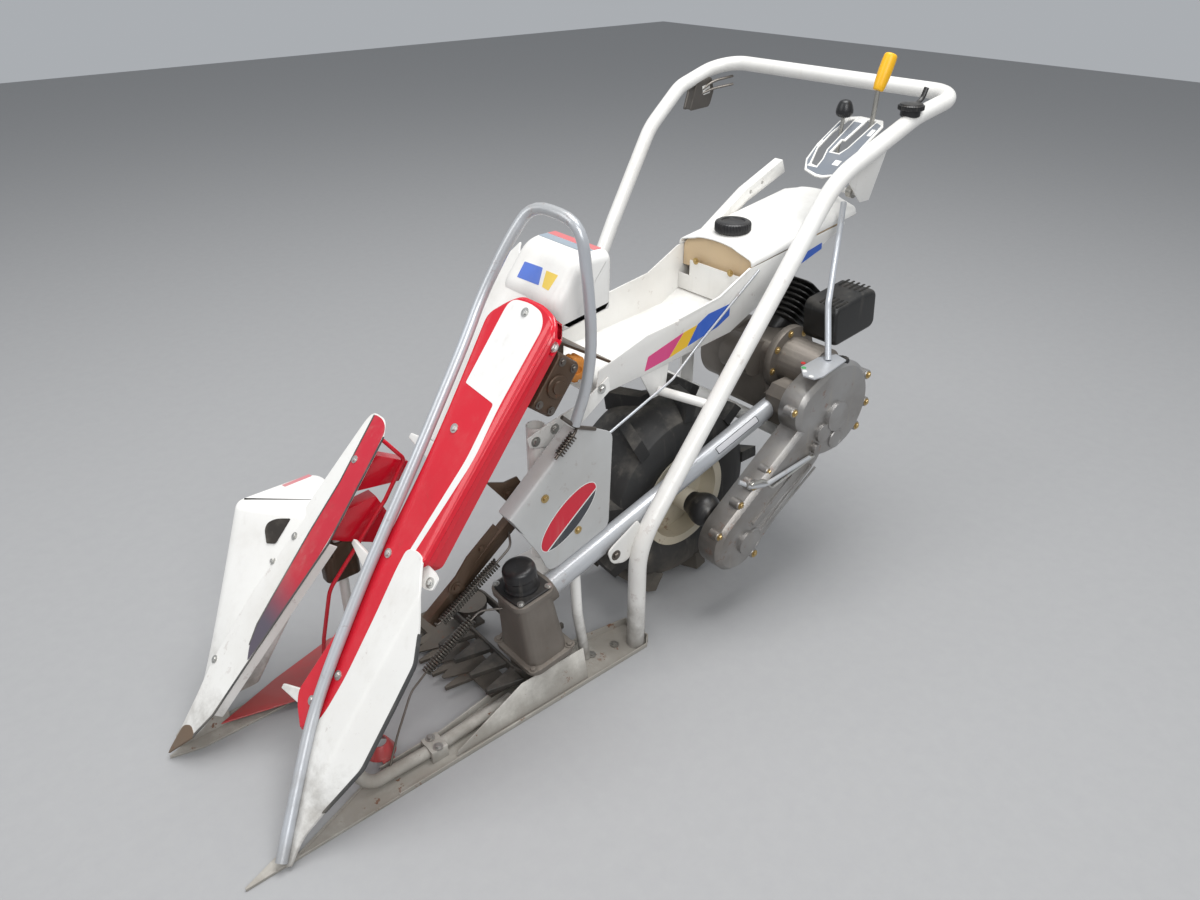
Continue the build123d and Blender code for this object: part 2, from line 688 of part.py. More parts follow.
with BuildPart() as tank_cap:
    with BuildSketch(Plane.XY.offset(cap_seat)):
        with Locations(cap_place):
            Circle(tank_cap_r)
    extrude(amount=24)
    fillet(tank_cap.edges().group_by(Axis.Z)[-1], radius=4)
keep("tank_cap", tank_cap.part)

# Bracket plate across the tray in front of the tank, with its step on the right
with BuildPart() as tank_bracket:
    with BuildSketch(Plane.YZ.offset(-324)):
        with BuildLine():
            Polyline((body_y[0] + tray_wall + fit, 618), (body_y[1] - tray_wall - fit, 618),
                     (body_y[1] - tray_wall - fit, 692), (76, 692), (76, 655), (body_y[0] + tray_wall + fit, 655),
                     close=True)
        make_face()
    extrude(amount=sheet)
    add(tray_room, mode=Mode.SUBTRACT)
keep("tank_bracket", tank_bracket.part)

# Bar to the twine box bracket, on the tray's right wall
twine_bar_points = [(-350, 664), (-350, 690), (-540, 806), (-668, 858), (-681, 827), (-550, 778), (-372, 664)]
with BuildPart() as twine_bar:
    with BuildSketch(side_plane(body_y[0] - 24)):
        with BuildLine():
            Polyline(*side_points(*twine_bar_points), close=True)
        make_face()
    extrude(amount=24)
    with BuildSketch(side_plane(body_y[0] - 40)):
        with Locations((600, 813.6), (560, 798)):
            Circle(5)
    extrude(amount=60, mode=Mode.SUBTRACT)
    with BuildSketch(side_plane(body_y[0] - 24)):
        with BuildLine():
            Polyline(*side_points((-386, 690), (-420, 711), (-520, 772), (-520, 756), (-386, 670)), close=True)
        make_face()
    extrude(amount=24 - sheet, mode=Mode.SUBTRACT)
keep("twine_bar", twine_bar.part)

# Knotter cover: moulded box whose front face runs on down as a wing beside the case
knot_off = -case_depth - fit
knot_plane = case.offset(knot_off)
knot_right = 288.0
knot_left = 118.0
knot_profile = [(93, 860), (175, 860), (237, 780), (218, 722), (95, 742)]
with BuildPart() as knotter_cover:
    with BuildSketch(side_plane(knot_left)):
        with BuildLine():
            Polyline(*side_points(*knot_profile), close=True)
        make_face()
    extrude(amount=knot_right - knot_left)
    fillet(knotter_cover.edges().filter_by(Axis.Y).group_by(Axis.Z)[-1], radius=10)
    with BuildSketch(side_plane(knot_left + sheet)):
        with BuildLine():
            Polyline(*side_points((93 + sheet, 860 - sheet), (174, 860 - sheet), (233, 781), (216, 700), (60, 700),
                                  (93 + sheet, 760)), close=True)
        make_face()
    extrude(amount=knot_right - knot_left - 2 * sheet, mode=Mode.SUBTRACT)
    with BuildSketch(knot_plane):
        with BuildLine():
            Polyline((1100, left_y - knot_left - 2), (1118, left_y - knot_left + 4), (1026, 343), (705, 294), (705, 198),
                     (1015, 198), close=True)
        make_face()
    extrude(amount=-sheet)
keep("knotter_cover", knotter_cover.part)

# Upright tube clamped to the gearbox, and the bracket plate that joins it to the tray
post_r = 19.0
post_xy = (250.0, 239.0)
with BuildPart() as upright_post:
    with BuildSketch(Plane.XY.offset(206)):
        with Locations(post_xy):
            Circle(post_r)
            Circle(post_r - sheet, mode=Mode.SUBTRACT)
    extrude(amount=534 - 206)
    with BuildSketch(Plane.XY.offset(200)):
        with Locations(((228 + 330) / 2, (218 + 300) / 2)):
            RectangleRounded(330 - 228, 300 - 218, 12)
    extrude(amount=34)
    add(bevel_gearbox.part, mode=Mode.SUBTRACT)
    with BuildSketch(Plane.XY.offset(190)):
        with Locations(post_xy):
            Circle(post_r - sheet)
    extrude(amount=60, mode=Mode.SUBTRACT)
keep("upright_post", upright_post.part)

# Brown packer bar from the post, the feed arms on it, and the long springs
bar_low, bar_top = (538, 270, 227), (256, 256, 412)
with BuildPart() as packer_arms:
    add(square_bar(bar_low, bar_top, 20, 26))
    add(bent_bar([(post_xy[0], post_xy[1], 190), (post_xy[0], post_xy[1], 560)], post_r + fit, 0), mode=Mode.SUBTRACT)
    with BuildSketch(side_plane(281.3)):
        with Locations((-481, 290)):
            Circle(16)
        with BuildLine():
            Polyline(*side_points((497, 292), (452, 344), (388, 390), (378, 374), (438, 322), (470, 278)), close=True)
        make_face()
        with Locations((-481, 290)):
            Circle(5, mode=Mode.SUBTRACT)
    extrude(amount=4)
    with BuildSketch(side_plane(266)):
        with Locations((-468, 277)):
            Circle(8)
    extrude(amount=16)
    with BuildSketch(side_plane(270)):
        with BuildLine():
            Polyline(*side_points((392, 478), (338, 404), (292, 398), (304, 428), (322, 463), (352, 462)), close=True)
        make_face()
        with Locations((-346, 436)):
            Circle(9, mode=Mode.SUBTRACT)
    extrude(amount=4)
    with BuildSketch(side_plane(262)):
        with Locations((-318, 400)):
            Circle(12)
    extrude(amount=10)
keep("packer_arms", packer_arms.part)

spring_r = 7.5
wire_r = 2.2
with BuildPart() as springs:
    add(bent_bar([(393, 290, 304), (518, 290, 234.5)], spring_r, 0))
    add(bent_bar([(398, 290, 301), (356, 290, 328), (345, 267, 347)], wire_r, [8]))
    add(bent_bar([(514, 290, 236.5), (530, 290, 229), (533, 284, 231)], wire_r, [3]))
    add(bent_bar([(455, 290, 202), (564, 290, 134.5)], spring_r, 0))
    add(bent_bar([(460, 290, 199), (438, 290, 212), (401, 314, 214)], wire_r, [8]))
    add(bent_bar([(560, 290, 137), (603, 292, 106), (660, 330, 60), (694, 358, 31)], wire_r, [40, 60]))
    add(bent_bar([(224, 314, 536), (253, 314, 513)], 9, 0))
    add(bevel_gearbox.part, mode=Mode.SUBTRACT)
    add(packer_arms.part, mode=Mode.SUBTRACT)
    add(front_tube.part, mode=Mode.SUBTRACT)
keep("springs", springs.part)

plate_y = body_y[1] + fit
keep("post_bracket", plate(side_plane(plate_y), side_points(
    (287, 526), (234, 541), (150, 558), (86, 592), (80, 562), (165, 506), (215, 486), (281, 503)), 4))

# Latch across the pipe's end on the side panel
with BuildPart() as pipe_latch:
    add(bent_bar([(256, 330, 590), (226, 332, 560), (178, 330, 538)], 4, [60]))
    add(bent_bar(pipe_loop[-3:], pipe_r + fit, [120]), mode=Mode.SUBTRACT)
    add(side_panel.part, mode=Mode.SUBTRACT)
keep("pipe_latch", pipe_latch.part)

# Knotter: brown plate below the cover, bolted between the tray's walls, and its bearing
knotter_y = (body_y[0] + tray_wall + fit, body_y[1] - tray_wall - fit)
with BuildPart() as knotter_plate:
    with BuildSketch(side_plane(knotter_y[0])):
        with BuildLine():
            Polyline(*side_points((212, 706), (60, 612), (60, 606), (212, 700)), close=True)
        make_face()
    extrude(amount=knotter_y[1] - knotter_y[0])
    with BuildSketch(side_plane(196)):
        with BuildLine():
            Polyline(*side_points((192, 692), (164, 675), (166, 622), (190, 622)), close=True)
        make_face()
    extrude(amount=26)
    with BuildSketch(side_plane(190)):
        with Locations((-178, 642)):
            Circle(6 + fit)
    extrude(amount=40, mode=Mode.SUBTRACT)
keep("knotter_plate", knotter_plate.part)

# Tension knob on its spindle
with BuildPart() as tension_wheel:
    with BuildSketch(side_plane(250)):
        with Locations((-178, 642)):
            Circle(25)
    extrude(amount=34)
    fillet(tension_wheel.edges(), radius=5)
    with BuildSketch(side_plane(192)):
        with Locations((-178, 642)):
            Circle(6)
    extrude(amount=62)
keep("tension_wheel", tension_wheel.part)

# The knotter's gear head on the back of the case
with BuildPart() as knotter_head:
    with BuildSketch(case.offset(-case_depth - fit)):
        with Locations((905, 125)):
            RectangleRounded(110, 136, 14)
    extrude(amount=-56)
keep("knotter_head", knotter_head.part)

# Stay between the cross tube and the tray's right wall
with BuildPart() as tray_stay:
    with BuildSketch(side_plane(body_y[0] - 6)):
        with BuildLine():
            Polyline(*side_points((-350, 330), (-394, 330), (-392, 652), (-352, 652)), close=True)
        make_face()
    extrude(amount=6)
    with BuildSketch(side_plane(body_y[0] - 20)):
        with Locations((-cross_tube[0], cross_tube[1])):
            Circle(cross_tube_r + fit)
    extrude(amount=40, mode=Mode.SUBTRACT)

# Gear case at the engine: clutch flange, its neck, and the boss for the drive tube; hollow towards the engine
bell_y = (286.0, 398.0)
bell_r = 77.0
neck_r = 54.0
case_wall = 7.0
case_inner_y = 398.0
case_outer_y = 456.0
with BuildPart() as gear_case:
    with BuildSketch(side_plane(bell_y[0])):
        with Locations((-crank[0], crank[1])):
            Circle(bell_r)
    extrude(amount=18)
    with BuildSketch(side_plane(bell_y[0])):
        with Locations((-crank[0], crank[1])):
            Circle(neck_r)
    extrude(amount=bell_y[1] - bell_y[0])
    with BuildSketch(side_plane(330)):
        with BuildLine():
            Polyline(*side_points((-322, 385), (-322, 448), (-340, 470), (-420, 470), (-420, 400)), close=True)
        make_face()
    extrude(amount=bell_y[1] - 330)
    with BuildSketch(Plane(origin=drive_rear, z_dir=-drive_dir)):
        Circle(drive_r + 9)
    extrude(amount=70)
    with BuildSketch(side_plane(bell_y[0])):
        with Locations((-crank[0], crank[1])):
            Circle(neck_r - case_wall)
    extrude(amount=bell_y[1] - bell_y[0] - case_wall, mode=Mode.SUBTRACT)
    add(bent_bar([drive_rear, drive_front], drive_r + fit, 0), mode=Mode.SUBTRACT)
keep("gear_case", gear_case.part)

# Chain case: cast arm from the gear case down to the axle
arm_top = (-420.0, 425.0)
arm_top_r = 112.0
axle_r = 15.0
case_bosses = (  # X, Z, radius, height above the case's face
    (-146, 192, 27, 8), (-414, 412, 34, 10), (-372, 384, 22, 8), (-352, 352, 12, 10))
case_ridges = (((-160, 232), (-310, 330)), ((-186, 200), (-346, 312)))
arm_low, arm_mid = (-128.0, 200.0, 72.0), (-326.0, 352.0, 64.0)   # X, Z, radius
body_front = (-344.0, 446.0, 60.0)
with BuildPart() as chain_case:
    for low, high in ((arm_low, arm_mid), ((*arm_top, arm_top_r), body_front)):
        with BuildSketch(side_plane(case_inner_y)):
            for x, z, radius in (low, high):
                with Locations((-x, z)):
                    Circle(radius)
            make_hull()
        extrude(amount=case_outer_y - case_inner_y)
    chamfer(chain_case.faces().sort_by(Axis.Y)[-1].edges(), length=10)
    for low, high in ((arm_low, arm_mid), ((*arm_top, arm_top_r), body_front)):
        with BuildSketch(side_plane(case_inner_y + case_wall)):
            for x, z, radius in (low, high):
                with Locations((-x, z)):
                    Circle(radius - 12)
            make_hull()
        extrude(amount=case_outer_y - case_inner_y - 3 * case_wall, mode=Mode.SUBTRACT)
    with BuildSketch(side_plane(case_inner_y)):
        with Locations((462, 430)):
            Circle(84)
        with Locations((-arm_top[0], arm_top[1])):
            Circle(arm_top_r - 4, mode=Mode.SUBTRACT)
    extrude(amount=36)
    for x, z, radius, height in case_bosses:
        with BuildSketch(side_plane(case_outer_y - 2)):
            with Locations((-x, z)):
                Circle(radius)
        extrude(amount=2 + height)
    for start, end in case_ridges:
        with BuildSketch(side_plane(case_outer_y - 2)):
            with Locations(((-start[0] - end[0]) / 2, (start[1] + end[1]) / 2)):
                SlotOverall(hypot(end[0] - start[0], end[1] - start[1]), 9,
                            rotation=degrees(atan2(end[1] - start[1], start[0] - end[0])))
        extrude(amount=2 + 5)
    with BuildSketch(side_plane(case_inner_y - 1)):
        with Locations((-axle_x, axle_z)):
            Circle(axle_r + fit)
    extrude(amount=40, mode=Mode.SUBTRACT)
keep("chain_case", chain_case.part)

# Wheel: tyre casing with high lugs, rolled rim with its disc, and the hub on the axle
rim_half = 93.0
bead_r = 101.0
rim_wall = 3.0
axle_plane = Plane(origin=(axle_x, wheel_y, axle_z), x_dir=(0, 1, 0), z_dir=(1, 0, 0))
axle_line = Axis((axle_x, wheel_y, axle_z), (0, 1, 0))
crown_r = axle_z - lug_height
lug_count = 9
with BuildPart() as tyre:
    with BuildSketch(axle_plane):
        with BuildLine():
            Polyline((-rim_half + rim_wall + fit, bead_r + fit), (-rim_half + rim_wall + fit, 122))
            ThreePointArc((-rim_half + rim_wall + fit, 122), (-tyre_width / 2, 160), (-84, 196))
            ThreePointArc((-84, 196), (0, crown_r), (84, 196))
            ThreePointArc((84, 196), (tyre_width / 2, 160), (rim_half - rim_wall - fit, 122))
            Polyline((rim_half - rim_wall - fit, 122), (rim_half - rim_wall - fit, bead_r + fit),
                     (rim_half - 20, bead_r + fit), (rim_half - 10, 150), (72, 190), (0, crown_r - 12),
                     (-72, 190), (-rim_half + 10, 150), (-rim_half + 20, bead_r + fit),
                     (-rim_half + rim_wall + fit, bead_r + fit))
        make_face()
    revolve(axis=axle_line)
    for side in (-1, 1):
        for k in range(lug_count):
            a = 360 / lug_count * (k + (0.5 if side > 0 else 0))
            lug = Plane(origin=(axle_x, wheel_y, axle_z), x_dir=(0, 1, 0), z_dir=(cos(radians(a)), 0, sin(radians(a))))
            with BuildSketch(lug.offset(crown_r - 26)):
                with BuildLine():
                    Polyline((side * 4, -12), (side * 90, -46), (side * 90, -18), (side * 4, 14), close=True)
                make_face()
            extrude(amount=26 + lug_height)
    with BuildSketch(side_plane(wheel_y - tyre_width / 2)):
        with Locations((-axle_x, axle_z)):
            Circle(axle_z)
    extrude(amount=tyre_width, mode=Mode.INTERSECT)
keep("tyre", tyre.part)

with BuildPart() as rim:
    with BuildSketch(axle_plane):
        with BuildLine():
            Polyline((-rim_half, rim_radius), (-rim_half, bead_r - rim_wall), (rim_half, bead_r - rim_wall),
                     (rim_half, rim_radius), (rim_half - rim_wall, rim_radius), (rim_half - rim_wall, bead_r),
                     (-rim_half + rim_wall, bead_r), (-rim_half + rim_wall, rim_radius), close=True)
        make_face()
        with Locations((45, (bead_r + 20) / 2)):
            Rectangle(6, bead_r - 20)
    revolve(axis=axle_line)
keep("rim", rim.part)

hub_y = (wheel_y + 48 + fit, 388.0)
boot_y = 332.0
with BuildPart() as hub:
    with BuildSketch(side_plane(hub_y[0])):
        with Locations((-axle_x, axle_z)):
            Circle(60)
    extrude(amount=8)
    with BuildSketch(side_plane(hub_y[0])):
        with Locations((-axle_x, axle_z)):
            Circle(26)
    extrude(amount=hub_y[1] - hub_y[0])
    for y, radius in ((boot_y, 27), (boot_y + 18, 38)):
        with BuildSketch(side_plane(y)):
            with Locations((-axle_x, axle_z)):
                Circle(radius)
    loft()
    with BuildSketch(side_plane(boot_y + 18)):
        with Locations((-axle_x, axle_z)):
            Circle(38)
    extrude(amount=hub_y[1] - boot_y - 18)
    with BuildSketch(side_plane(hub_y[0] - 20)):
        with Locations((-axle_x, axle_z)):
            Circle(axle_r)
    extrude(amount=case_inner_y + 36 - hub_y[0] + 20)
keep("hub", hub.part)

# Engine: crankcase block with its front bulge and round starter cover, finned cylinder, muffler
block = ((-512.0, -376.0), (140.0, bell_y[0] - fit), (cross_tube[1] + cross_tube_r, 536.0))
starter_y = (96.0, 172.0)
block_mid = (-sum(block[0]) / 2, sum(block[2]) / 2)
with BuildPart() as engine_block:
    with BuildSketch(side_plane(block[1][0])):
        with Locations(block_mid):
            RectangleRounded(block[0][1] - block[0][0], block[2][1] - block[2][0], 24)
    extrude(amount=block[1][1] - block[1][0])
    with BuildSketch(side_plane(block[1][0] + 40)):
        with Locations((366, 496)):
            Circle(42)
    extrude(amount=262 - block[1][0] - 40)
    with BuildSketch(side_plane(starter_y[0])):
        with Locations((-crank[0], crank[1] - 24)):
            Circle(82)
            Circle(64, mode=Mode.SUBTRACT)
    extrude(amount=starter_y[1] - starter_y[0])
    with BuildSketch(side_plane(starter_y[0])):
        with Locations((-crank[0], crank[1] - 24)):
            Circle(66)
    extrude(amount=sheet)
keep("engine_block", engine_block.part)

cylinder_lean = 40.0
cylinder_foot = (-474.0, 212.0, 506.0)
fin_count = 8
fin_pitch = 13.0
fin_t = 4.0
fin_width, fin_depth = 118.0, 104.0
cyl = Plane(origin=cylinder_foot, x_dir=(0, 1, 0),
            z_dir=(-sin(radians(cylinder_lean)), 0, cos(radians(cylinder_lean))))
with BuildPart() as cylinder:
    with BuildSketch(cyl):
        Circle(34)
    extrude(amount=40 + fin_count * fin_pitch)
    for k in range(fin_count):
        with BuildSketch(cyl.offset(44 + k * fin_pitch)):
            RectangleRounded(fin_width, fin_depth, 16)
        extrude(amount=fin_t)
    add(engine_block.part, mode=Mode.SUBTRACT)
keep("cylinder", cylinder.part)

muffler_size = (151.0, 95.0)
muffler_y = (305.0, 392.0)
muffler_at = (-538.0, 590.0)
muffler_tilt = 6.2
muffler_wall = 2.0
with BuildPart() as muffler:
    with BuildSketch(side_plane(muffler_y[0])):
        with Locations(Location((-muffler_at[0], muffler_at[1], 0), (0, 0, muffler_tilt))):
            RectangleRounded(muffler_size[0], muffler_size[1], 20)
    extrude(amount=muffler_y[1] - muffler_y[0])
    fillet(muffler.faces().sort_by(Axis.Y)[-1].edges(), radius=10)
    with BuildSketch(side_plane(muffler_y[0] + muffler_wall)):
        with Locations(Location((-muffler_at[0], muffler_at[1], 0), (0, 0, muffler_tilt))):
            RectangleRounded(muffler_size[0] - 2 * muffler_wall, muffler_size[1] - 2 * muffler_wall, 18)
    extrude(amount=muffler_y[1] - muffler_y[0] - 2 * muffler_wall - 8, mode=Mode.SUBTRACT)
    with BuildSketch(side_plane(cylinder_foot[1] + fin_width / 2 + fit)):
        with Locations((534, 578)):
            Circle(14)
            Circle(11, mode=Mode.SUBTRACT)
    extrude(amount=muffler_y[0] - cylinder_foot[1] - fin_width / 2)
    with BuildSketch(side_plane(muffler_y[0] - 4)):
        with Locations((534, 578)):
            Circle(11)
    extrude(amount=12, mode=Mode.SUBTRACT)
keep("muffler", muffler.part)

# Controls: gate plate, main lever, speed lever, round dial, clutch lever and the long shift rod
gate_t = 4.0
gate_outline = [(-33, -10), (-33, 10), (-22, 46), (10, 66), (60, 73), (142, 71), (160, 58), (168, 30), (166, -30),
                (150, -41.1), (10, -41.1), (-20, -34)]
gate_slots = (  # along the plate, across it
    [(-4, 26), (0, 44), (50, 62), (104, 62), (150, 52), (158, 38), (104, 38), (50, 38), (20, 28)],
    [(46, 22), (86, 22), (86, 14), (160, 6), (160, -16), (66, -6), (46, 2)])
with BuildPart() as gate_plate:
    with BuildSketch(Plane(origin=(-562, 248, 892), x_dir=(-0.865, 0, 0.5), z_dir=(0.5, 0, 0.865))):
        with BuildLine():
            Polyline(*gate_outline, close=True)
        make_face()
        for outline in gate_slots:
            with BuildLine():
                Polyline(*outline, close=True)
            make_face(mode=Mode.SUBTRACT)
    extrude(amount=gate_t)
keep("gate_plate", gate_plate.part)

pivot = (-655.0, 826.0)
pivot_r = 6.0
with BuildPart() as lever_stand:
    with BuildSketch(side_plane(289.4)):
        with BuildLine():
            Polyline(*side_points((-560, 892), (-600, 917), (-628, 930), (-700, 943), (-720, 928), (-672, 812),
                                  (-638, 812)), close=True)
        make_face()
    extrude(amount=sheet)
    with BuildSketch(side_plane(189)):
        with Locations((-pivot[0], pivot[1])):
            Circle(pivot_r)
    extrude(amount=289.4 - 189)
keep("lever_stand", lever_stand.part)


def lever_eye(y, width, radius):
    with BuildPart() as made:
        with BuildSketch(side_plane(y - width / 2)):
            with Locations((-pivot[0], pivot[1])):
                Circle(radius)
        extrude(amount=width)
    return made.part


grip_foot = (-683, 268, 1047)
with BuildPart() as main_lever:
    add(lever_eye(254, 14, 14))
    add(bent_bar([(pivot[0], 254, pivot[1]), (-694, 256, 962), grip_foot], 5, [60]))
    add(bent_bar([grip_foot, (-712, 270, 1119)], 12, 0))
    add(lever_eye(254, 40, pivot_r + fit), mode=Mode.SUBTRACT)
keep("main_lever", main_lever.part)

with BuildPart() as speed_lever:
    add(lever_eye(198, 12, 12))
    add(bent_bar([(pivot[0], 198, pivot[1]), (-668, 198, 1000)], 4, 0))
    with Locations(Location((-669, 198, 1008))):
        Sphere(17)
    add(lever_eye(198, 40, pivot_r + fit), mode=Mode.SUBTRACT)

with BuildPart() as dial_lever:
    with Locations(Location((-764, 305, 988))):
        Box(40, 30, 24)
    with Locations(Location((-764, 305, 1006))):
        Cylinder(29, 14)
    add(bent_bar([(-770, 305, 1008), (-802, 305, 1016), (-816, 305, 1042)], 5, [12]))
    add(bent_bar([handle_points[2], handle_points[3], handle_points[4]], tube_r + fit, [300]), mode=Mode.SUBTRACT)

with BuildPart() as clutch_lever:
    with BuildSketch(side_plane(-462)):
        with BuildLine():
            Polyline(*side_points((-846, 966), (-822, 888), (-900, 892), (-916, 934), (-904, 972)), close=True)
        make_face()
    extrude(amount=30)
    for rise, reach, side in ((0, 958, -396), (20, 966, -404)):
        add(bent_bar([(-868, -436, 930 + rise / 2), (-900, -424, 942 + rise), (-reach, side, 952 + rise)], 5, [30]))
    add(bent_bar([handle_points[5], handle_points[6], handle_points[7], handle_points[8]],
                 tube_r + fit, [120, 200]), mode=Mode.SUBTRACT)

with BuildPart() as hand_controls:
    add(speed_lever.part)
    add(dial_lever.part)
    add(clutch_lever.part)
keep("hand_controls", hand_controls.part)

# Linkage: shift rod down to its quadrant on the gear case, the engaging lever, and the thin rod along the tray
shift_rod_r = 7.0
quadrant_z = 537.25
with BuildPart() as linkage:
    add(bent_bar([(-620, 262, 808), (-566, 298, 745), (-448, 376, 640), (-400, 428, quadrant_z + 3 + fit)],
                 shift_rod_r, [60, 60]))
    with BuildSketch(Plane.XY.offset(quadrant_z)):
        with BuildLine():
            Polyline((-432, 452), (-440, 420), (-396, 404), (-330, 410), (-300, 440), (-304, 466), (-330, 470),
                     close=True)
        make_face()
    extrude(amount=sheet)
    add(bent_bar([(-118, 444, 352), (-140, 462, 340), (-186, case_outer_y + 5.4, 326), (-330, case_outer_y + 5.4, 338)],
                 5, [20, 60]))
    add(bent_bar([(134, 320, 508), (-66, 288.5, 549), (-172, 261.2, 592), (-344, 261.2, 712)], 2.6, [60, 200]))
    add(chain_case.part, mode=Mode.SUBTRACT)
keep("linkage", linkage.part)

# Cross brace from the plate under the tray to the handle tube
tray_solid = plate(side_plane(body_y[0]), side_points(*(tray_bottom + tray_top)), body_y[1] - body_y[0])
with BuildPart() as cross_brace:
    add(bent_bar([(-62, 251, 511), (-119, 360, 497)], 10, 0))
    add(bent_bar([handle_points[1], handle_points[2]], tube_r + fit, 0), mode=Mode.SUBTRACT)
    with BuildSketch(side_plane(body_y[1] - 8)):
        with BuildLine():
            Polyline(*side_points((2, 580), (-92, 590), (-80, 500), (-44, 498)), close=True)
        make_face()
    extrude(amount=sheet)
    add(tray_solid, mode=Mode.SUBTRACT)

# Stay between the cross tube and the tray's right wall
with BuildPart() as tray_stay:
    with BuildSketch(side_plane(body_y[0] - 6)):
        with BuildLine():
            Polyline(*side_points((-350, 330), (-394, 330), (-392, 652), (-352, 652)), close=True)
        make_face()
    extrude(amount=6)
    with BuildSketch(side_plane(body_y[0] - 20)):
        with Locations((-cross_tube[0], cross_tube[1])):
            Circle(cross_tube_r + fit)
    extrude(amount=40, mode=Mode.SUBTRACT)

with BuildPart() as stays:
    add(cross_brace.part)
    add(tray_stay.part)
    add(divider_stay.part)
keep("stays", stays.part)

os.makedirs("parts", exist_ok=True)
for name, part in nodes.items():
    export_step(part, f"parts/{name}.step")
print(len(nodes), "pieces")
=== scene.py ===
from math import cos, pi, radians, sin, tan

import bmesh
import bpy
import numpy as np
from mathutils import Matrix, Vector


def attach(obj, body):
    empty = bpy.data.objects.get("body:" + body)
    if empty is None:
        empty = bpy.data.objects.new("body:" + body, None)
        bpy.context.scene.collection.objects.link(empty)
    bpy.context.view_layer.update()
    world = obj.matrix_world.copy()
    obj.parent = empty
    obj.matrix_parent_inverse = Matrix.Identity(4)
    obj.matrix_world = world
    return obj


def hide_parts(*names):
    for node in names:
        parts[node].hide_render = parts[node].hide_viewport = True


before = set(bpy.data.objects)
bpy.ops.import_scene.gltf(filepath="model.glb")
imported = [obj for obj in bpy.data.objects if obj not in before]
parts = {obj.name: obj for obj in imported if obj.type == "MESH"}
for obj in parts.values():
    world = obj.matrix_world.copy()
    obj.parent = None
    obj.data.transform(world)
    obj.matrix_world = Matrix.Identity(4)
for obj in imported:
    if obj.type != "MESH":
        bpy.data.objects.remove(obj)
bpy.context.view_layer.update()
mm = 0.001      # the sizes below are in millimetres


# Skids, front tube and strut: folded sheet channels in white enamel, worn and muddy, lie on the ground. A
# steel tube clamped in the left one carries the lifting case, and a flat strut braces it. Zinc plated bolts
# hold them.
def node(tree, kind, sockets=None, **settings):
    """One shader node; sockets gives its inputs as numbers or as other nodes' outputs."""
    made = tree.nodes.new("ShaderNode" + kind)
    for key, value in settings.items():
        setattr(made, key, value)
    for key, value in (sockets or {}).items():
        if isinstance(value, bpy.types.NodeSocket):
            tree.links.new(value, made.inputs[key])
        else:
            made.inputs[key].default_value = value
    return made


def noise(tree, where, scale, detail=4.0, rough=0.55):
    """Fractal noise between 0 and 1 at a place, finer with a larger scale."""
    return node(tree, "TexNoise", {"Vector": where, "Scale": scale, "Detail": detail,
                                   "Roughness": rough}).outputs[0]


def ramp(tree, value, low, high, top=1.0):
    """0 below low, top above high, smooth between."""
    return node(tree, "MapRange", {"Value": value, "From Min": low, "From Max": high, "To Max": top},
                interpolation_type="SMOOTHSTEP").outputs[0]


def sums(tree, kind, *values):
    """One arithmetic step on its values, such as their sum or product."""
    return node(tree, "Math", dict(enumerate(values)), operation=kind).outputs[0]


def over(tree, share, under, cover):
    """One colour laid over another by a share."""
    return node(tree, "Mix", {0: share, 6: under, 7: cover}, data_type="RGBA").outputs[2]


def rgb(*colour):
    """A colour with nothing seen through it."""
    return (*colour, 1.0)


def soil_group():
    """
    Mud climbs from the ground, dust lies on what faces up, rust and chips come in spots: each is noise past a
    threshold, times the share that a finish asks for. Blotches, streaks and fine grain are plain noise.
    """
    tree = bpy.data.node_groups.new("soil", "ShaderNodeTree")
    shares = ("Dust", "Mud", "Rust", "Chips")
    for name in shares:
        tree.interface.new_socket(name, in_out="INPUT", socket_type="NodeSocketFloat")
    for name in (*shares, "Blotch", "Streak", "Grain"):
        tree.interface.new_socket(name, in_out="OUTPUT", socket_type="NodeSocketFloat")
    asked = tree.nodes.new("NodeGroupInput").outputs
    out = tree.nodes.new("NodeGroupOutput")
    where = node(tree, "TexCoord").outputs["Object"]
    height = node(tree, "SeparateXYZ", {0: where}).outputs[2]
    facing = node(tree, "SeparateXYZ", {0: node(tree, "NewGeometry").outputs["Normal"]}).outputs[2]
    patches = noise(tree, where, 11.0, 6.0, 0.66)
    blotch = noise(tree, where, 3.2, 5.0, 0.6)
    stretched = node(tree, "Mapping", {"Vector": where, "Scale": (30.0, 30.0, 3.0)}).outputs[0]
    streak = noise(tree, stretched, 1.6, 5.0, 0.6)
    climbing = sums(tree, "ADD", height, sums(tree, "MULTIPLY", sums(tree, "SUBTRACT", 0.5, patches), 0.30))
    lying = sums(tree, "ADD", sums(tree, "MULTIPLY", facing, 0.25), patches)
    spots = noise(tree, where, 34.0, 10.0, 0.72)
    spotted = sums(tree, "ADD", spots, sums(tree, "MULTIPLY", blotch, 0.25))
    masks = {"Dust": ramp(tree, lying, 0.58, 0.98), "Mud": ramp(tree, climbing, 0.15, 0.0),
             "Rust": ramp(tree, spotted, 0.735, 0.79),
             "Chips": ramp(tree, noise(tree, where, 120.0, 6.0, 0.7), 0.67, 0.70)}
    for name, mask in masks.items():
        tree.links.new(sums(tree, "MULTIPLY", mask, asked[name]), out.inputs[name])
    grain = noise(tree, where, 420.0, 3.0, 0.6)
    for name, value in (("Blotch", blotch), ("Streak", streak), ("Grain", grain)):
        tree.links.new(value, out.inputs[name])
    return tree


soil = soil_group()
dust_colour = rgb(0.42, 0.38, 0.32)
mud_colour = rgb(0.15, 0.13, 0.105)
rust_colour = rgb(0.16, 0.055, 0.02)
chip_colour = rgb(0.10, 0.08, 0.065)
dulling = 0.4      # full dust or mud raises the roughness by this much


